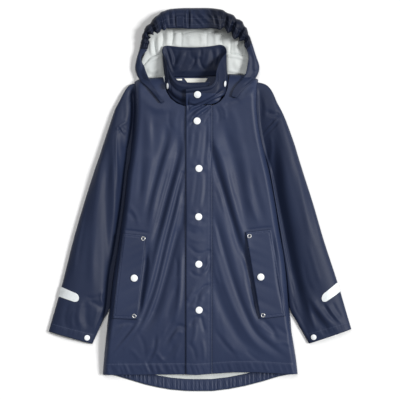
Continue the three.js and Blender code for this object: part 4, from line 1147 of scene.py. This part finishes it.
# %% [markdown]
# ## Pocket flaps
# A flap is two layers sewn along three sides. Its free edge stands off a little, where the dark slit of the
# pocket shows.

# %% Pocket flaps
FLAPS = {
    "pocket_flap_left": ((-155, -66), (-108, -70), (-125, -238), (-175, -236)),
    "pocket_flap_right": ((142, -58), (91, -64), (120, -237), (171, -231)),
}
FLAP_WIDE = 48
FLAP_LONG = 170
FLAP_CLOTH = 2
FLAP_LIFT = 0.7
FLAP_STANDS_OFF = 1.6
FLAP_STITCH_IN = 4.6


def flap_place(corners, u, v):
    (ax, ay), (bx, by), (cx, cy), (dx, dy) = corners
    return mix(mix(ax, bx, u), mix(dx, cx, u), v), mix(mix(ay, by, u), mix(dy, cy, u), v)


def flap_surface(corners):
    def surface(u, v):
        x, y = flap_place(corners, u, v)
        sewn = np.minimum.reduce([u * FLAP_WIDE, v * FLAP_LONG, (1 - v) * FLAP_LONG])
        from_edge = np.minimum(sewn, (1 - u) * FLAP_WIDE)
        roll = -1.2 * (1 - rounded(from_edge / 2.2))
        line = groove(sewn - FLAP_STITCH_IN, 1.0, 0.7) + groove(sewn - FLAP_STITCH_IN + 2.8, 0.9, 0.5)
        line = line + puckers(sewn - FLAP_STITCH_IN, v * FLAP_LONG + u * 60, 2.5, 0.15, 8)
        swell = 0.9 * np.sin(np.pi * v * 2.3 + 0.6) * u
        soft = swell + 0.6 * uneven_waves(v * FLAP_LONG + 30 * u, 44, 0.7) * u
        top = front_height(x, y) + SEAM_GAP + FLAP_LIFT + FLAP_STANDS_OFF * u**2 + FLAP_CLOTH
        return places(x, y, top + roll + line + soft)

    return surface


for node, corners in FLAPS.items():
    flap = cloth_piece(node + "_cloth", laid_grid(46, 140, flap_surface(corners)), [navy_cloth] * 2, node, 1.4)


# %% [markdown]
# ## Snaps and rivets
# A cap is turned, so half its section spun once round makes it. The snap has a low dome with a fine step near
# its rim and a shallow dimple, and the rivet is a ring round a small dark hollow.

# %% Turned caps
def spun(name, profile, radius, seat, normal, finishes, node, dark_from=0):
    """A cap turned from half its section, seated on a point."""
    bm = bmesh.new()
    points = [bm.verts.new((r * radius * MM, 0, z * MM)) for r, z in profile]
    edges = [bm.edges.new(pair) for pair in zip(points, points[1:])]
    bmesh.ops.spin(
        bm, geom=points + edges, cent=(0, 0, 0), axis=(0, 0, 1), angle=2 * np.pi, steps=40, use_merge=True)
    bmesh.ops.remove_doubles(bm, verts=bm.verts, dist=1e-6)
    bmesh.ops.recalc_face_normals(bm, faces=bm.faces)
    for face in bm.faces:
        middle = face.calc_center_median() / MM
        face.material_index = int(middle.xy.length < dark_from * radius and middle.z > 0.3)
    turn = Vector(normal).to_track_quat("Z", "Y").to_matrix().to_4x4()
    bmesh.ops.transform(bm, matrix=Matrix.Translation(Vector(seat) * MM) @ turn, verts=bm.verts)
    return mesh_object(name, bm, finishes, node)


def seat_on(height, x, y, radius):
    """Where a cap rests clear of the cloth under its rim, and the way it faces."""
    step = radius * 0.8
    z = height(np.array([x - step, x + step, x, x]), np.array([y, y, y - step, y + step]))
    normal = Vector((z[0] - z[1], z[2] - z[3], 2 * step)).normalized()
    turn = np.arange(12) * np.pi / 6
    px, py = x + radius * 0.9 * np.cos(turn), y + radius * 0.9 * np.sin(turn)
    z = height(px, py)
    middle = float(height(np.array([float(x)]), np.array([float(y)]))[0])
    rise = (px - x) * normal.x + (py - y) * normal.y + (z - middle) * normal.z
    return Vector((x, y, middle)) + normal * max(0, float(rise.max()) * 0.6), normal


SNAP_SECTION = (
    (0, 0), (0.96, 0), (1, 0.35), (1, 1.0), (0.96, 1.35), (0.88, 1.55), (0.84, 1.5), (0.8, 1.6),
    (0.6, 2.1), (0.35, 2.4), (0.15, 2.45), (0, 2.42),
)
RIVET_SECTION = (
    (0, 0), (0.94, 0), (1, 0.2), (1, 0.7), (0.92, 1.15), (0.76, 1.35), (0.6, 1.25), (0.5, 0.8), (0.44, 0.45),
    (0, 0.4),
)
dark_finish = Finish("rivet_hollow")
hollow = dark_finish.noise(dark_finish.place(), 1500, 2)
rivet_hollow = dark_finish.finished(
    base_color=dark_finish.blend(hollow, linear(46, 48, 52), linear(84, 86, 90)), metallic=0.6, roughness=0.45)


def flap_top(x, y):
    return front_height(x, y) + SEAM_GAP + FLAP_LIFT + FLAP_CLOTH + FLAP_STANDS_OFF * 0.8


SNAP_RADIUS = 7
RIVET_RADIUS = 4.6
snap_seats = {}
for k, (x, y) in enumerate(zip(FRONT_SNAPS["x"], FRONT_SNAPS["y"])):
    snap_seats[f"front_snap_{k + 2}"] = seat_on(placket_height, x, y, SNAP_RADIUS) + (SNAP_RADIUS,)
for side, x, y in (("left", -130.8, -155.4), ("right", 121, -153.2)):
    snap_seats["pocket_snap_" + side] = seat_on(flap_top, x, y, SNAP_RADIUS) + (SNAP_RADIUS,)


def seat_at(surface, u, v, inside, out):
    """Seat and outward normal on a surface given by two shares."""
    step = 0.006
    us, vs = np.array([u, u + step, u - step, u, u]), np.array([v, v, v, v + step, v - step])
    points = surface(us, vs)
    normal = Vector(np.cross(points[1] - points[2], points[3] - points[4])).normalized()
    seat = Vector(points[0])
    if normal.dot(seat - Vector(inside)) < 0:
        normal.negate()
    return seat + normal * out, normal


neck_middle = (-8, 240, 20)
snap_seats["front_snap_1"] = seat_at(collar_surface, 0.925, 0.62, neck_middle, 1.0) + (SNAP_RADIUS,)
for side, u, v, lean in (("left", 0.2, 0.3, (-2.2, 0, -0.2)), ("right", 0.735, 0.2, (1.5, -0.3, 0))):
    seat, normal = seat_at(collar_surface, u, v, neck_middle, 1.0)
    snap_seats["hood_snap_" + side] = (seat, (normal + Vector(lean)).normalized(), 6)
for side, rows in SLEEVES.items():
    over_cuff = partial(sleeve_top, rows, side)
    under = Vector(over_cuff(np.array([0.983]), np.array([0.84]))[0]) - Vector((0, 0, 20))
    snap_seats["cuff_snap_" + side] = seat_at(over_cuff, 0.983, 0.84, under, 0.3) + (5.6,)
for node, (seat, normal, radius) in snap_seats.items():
    spun(node + "_cap", SNAP_SECTION, radius, seat, normal, [white_cap], node)

RIVETS = {
    "rivet_left_top": (-113, -77), "rivet_left_bottom": (-131, -231),
    "rivet_right_top": (98, -72), "rivet_right_bottom": (125.4, -229.6),
}
for node, (x, y) in RIVETS.items():
    seat, normal = seat_on(flap_top, x, y, RIVET_RADIUS)
    finishes = [rivet_metal, rivet_hollow]
    spun(node + "_ring", RIVET_SECTION, RIVET_RADIUS, seat, normal, finishes, node, 0.52)
print("caps", len(snap_seats) + len(RIVETS))

# %% [markdown]
# ## Reflective tape
# A strip of silver film wraps round the outer fold of each sleeve, with a round end on top.

# %% Tape
TAPE_REACH = 41


def place_at(rows, y):
    """How far down the sleeve its outer edge reaches a height of the picture."""
    shares = np.linspace(0, 1, 600)
    return np.interp(-y, -read(rows, "outY", shares * (len(rows["outY"]) - 1)), shares)


def tape_surface(rows, side, first, last, slant):
    def flat(u, v):
        round_end = mix(0.06, 1, rounded((1 - np.clip(u, 0, 1)) * 4.2))
        half = mix(0.5 - round_end / 2, 0.5 + round_end / 2, v)
        along = place_at(rows, mix(first, last, half) - slant * u)
        row = along * (len(rows["outY"]) - 1)
        out_x, out_y, in_x, in_y = (read(rows, c, row) for c in ("outX", "outY", "inX", "inY"))
        wide = np.hypot(out_x - in_x, out_y - in_y)
        return sleeve_top(rows, side, along, np.clip(u * TAPE_REACH / wide, 0, 1))

    def lifted(u, v):
        points = flat(u, v)
        outward = -1 if side == "left" else 1
        points[:, 2] += 0.8
        points[:, 0] += outward * 0.8 * eased(0.12, 0, u)
        return points

    return lifted


for side, first, last, slant in (("left", -174, -193, 0), ("right", -164.4, -182.8, 12)):
    tape_bm = laid_grid(70, 26, tape_surface(SLEEVES[side], side, first, last, slant), size=(0.046, 0.020))
    node = "reflective_tape_" + side
    tape = cloth_piece("tape_" + side, tape_bm, [silver_tape], node, 0.6, inner=0)
print("tape", TAPE_REACH, "mm over the top")

# %% [markdown]
# ## Loop, label and tab
# Inside the neck are a small hanging loop and a blank woven label. A stitched tab sits on the brim.

# %% Small strips
def strip_surface(x0, x1, y0, y1, inset, arch):
    def surface(u, v):
        x = mix(mix(x0 + inset, x0, v), mix(x1 - inset, x1, v), u)
        return places(x, mix(y0, y1, v), LIE + 1 + arch * np.sin(np.pi * u))

    return surface


loop_bm = laid_grid(24, 4, strip_surface(-52, -36, 239.6, 243, 0, 1.6), size=(0.016, 0.0034))
loop = cloth_piece("loop", loop_bm, [woven_label], "hanger_loop", 0.9, inner=0)
label_bm = laid_grid(60, 14, strip_surface(-32, 16, 234, 244, 8, 0), size=(0.048, 0.010))
label = cloth_piece("label", label_bm, [woven_label], "neck_label", 0.7, inner=0)


def tab_surface(u, v):
    points = hood_point(mix(11.72, 12.28, u), mix(5.3, 6.8, v))
    points[:, 2] += 1.3
    return points


# The tab takes the darker copy of the cloth: painted shade.
tab = cloth_piece("brim_tab", laid_grid(16, 16, tab_surface), [navy_cloth_shaded], "hood_tab", 0.9, inner=0)


# %% [markdown]
# ## Topstitching
# Every sewn edge carries one or two rows of short stitches, in the grooves made for them. Each is a tiny ball
# flattened and stretched along the line, which is enough at this size.

# %% Rows of stitches
STITCH_STEP = 3.0
STITCH = Matrix.Diagonal((1.15 * MM, 0.34 * MM, 0.3 * MM, 1))


def even_points(line, step):
    """Points at an even spacing along a line."""
    reach = np.r_[0, np.cumsum(np.linalg.norm(np.diff(line, axis=0), axis=1))]
    at = np.arange(step / 2, reach[-1], step)
    return np.stack([np.interp(at, reach, line[:, k]) for k in range(3)], axis=1)


def sew(name, lines):
    bm = bmesh.new()
    count = 0
    for line in lines:
        spots = even_points(line, STITCH_STEP)
        for spot, ahead in zip(spots[:-1], spots[1:]):
            turn = Vector(ahead - spot).to_track_quat("X", "Z").to_matrix().to_4x4()
            place = Matrix.Translation(Vector(spot) * MM) @ turn @ STITCH
            bmesh.ops.create_icosphere(bm, subdivisions=1, radius=1, matrix=place)
            count += 1
    mesh_object(name, bm, [navy_thread])
    print(name, count, "stitches")


def on_height(height, x, y, up=0.1):
    return places(x, y, height(x, y) + up)


def closely(a, b, count=160):
    return np.linspace(a, b, count)


sewn_lines = []
for height, x in (
    (front_height, closely(-188, PLACKET_LEFT - 1)), (front_height, closely(PLACKET_RIGHT + 1, 188)),
    (placket_height, closely(PLACKET_LEFT + 2, PLACKET_RIGHT - 1, 60)),
):
    sewn_lines.append(on_height(height, x, read_straight(HEM, "y", x, "x") + HEM_STITCH_UP))
for height, x in ((placket_height, PLACKET_SEWN_AT), (front_height, FRONT_SEWN_AT)):
    sewn_lines.append(on_height(height, np.full(400, x), closely(-346, 184, 400), -0.1))
sew("stitches_fronts", sewn_lines)

flap_lines = []
for corners in FLAPS.values():
    surface = flap_surface(corners)
    for inset in (FLAP_STITCH_IN, FLAP_STITCH_IN - 2.6):
        side_u, end_v = inset / FLAP_WIDE, inset / FLAP_LONG
        flap_lines.append(surface(np.full(160, side_u), closely(end_v, 1 - end_v)))
        flap_lines += [surface(closely(side_u, 0.97), np.full(160, v)) for v in (end_v, 1 - end_v)]
sew("stitches_pockets", flap_lines)

cuff_lines = []
for side, rows in SLEEVES.items():
    over_band = closely(0.04, 0.96) * TOP_PART
    cuff_lines.append(sleeve_surface(rows, side)(over_band, np.full(160, 1 - CUFF_STITCH_UP / SLEEVE_LONG)))
sew("stitches_cuffs", cuff_lines)

collar_line = collar_surface(closely(0.005, 0.995, 600), np.full(600, 0.9))
collar_inward = np.array([-8, 262, 30.0]) - collar_line
collar_inward /= np.linalg.norm(collar_inward, axis=1, keepdims=True)
brim_surface = hood_surface(BRIM_FIRST + 0.2, BRIM_LAST - 0.2)
hood_lines = [brim_surface(closely(0, 1, 500), np.full(500, step / HOOD_STEPS)) for step in CHANNEL_LINES]
tab_lines = [tab_surface(closely(0.08, 0.92, 30), np.full(30, v)) for v in (0.08, 0.92)]
tab_lines += [tab_surface(np.full(30, u), closely(0.08, 0.92, 30)) for u in (0.08, 0.92)]
sew("stitches_hood_collar", [collar_line + collar_inward * 0.85] + hood_lines + tab_lines)

# %% [markdown]
# ## Close the frame
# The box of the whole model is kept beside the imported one, so that the two can be compared.

# %% Sizes and finish
[[list(map(float, corner)) for corner in box] for box in (cad_box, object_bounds())]
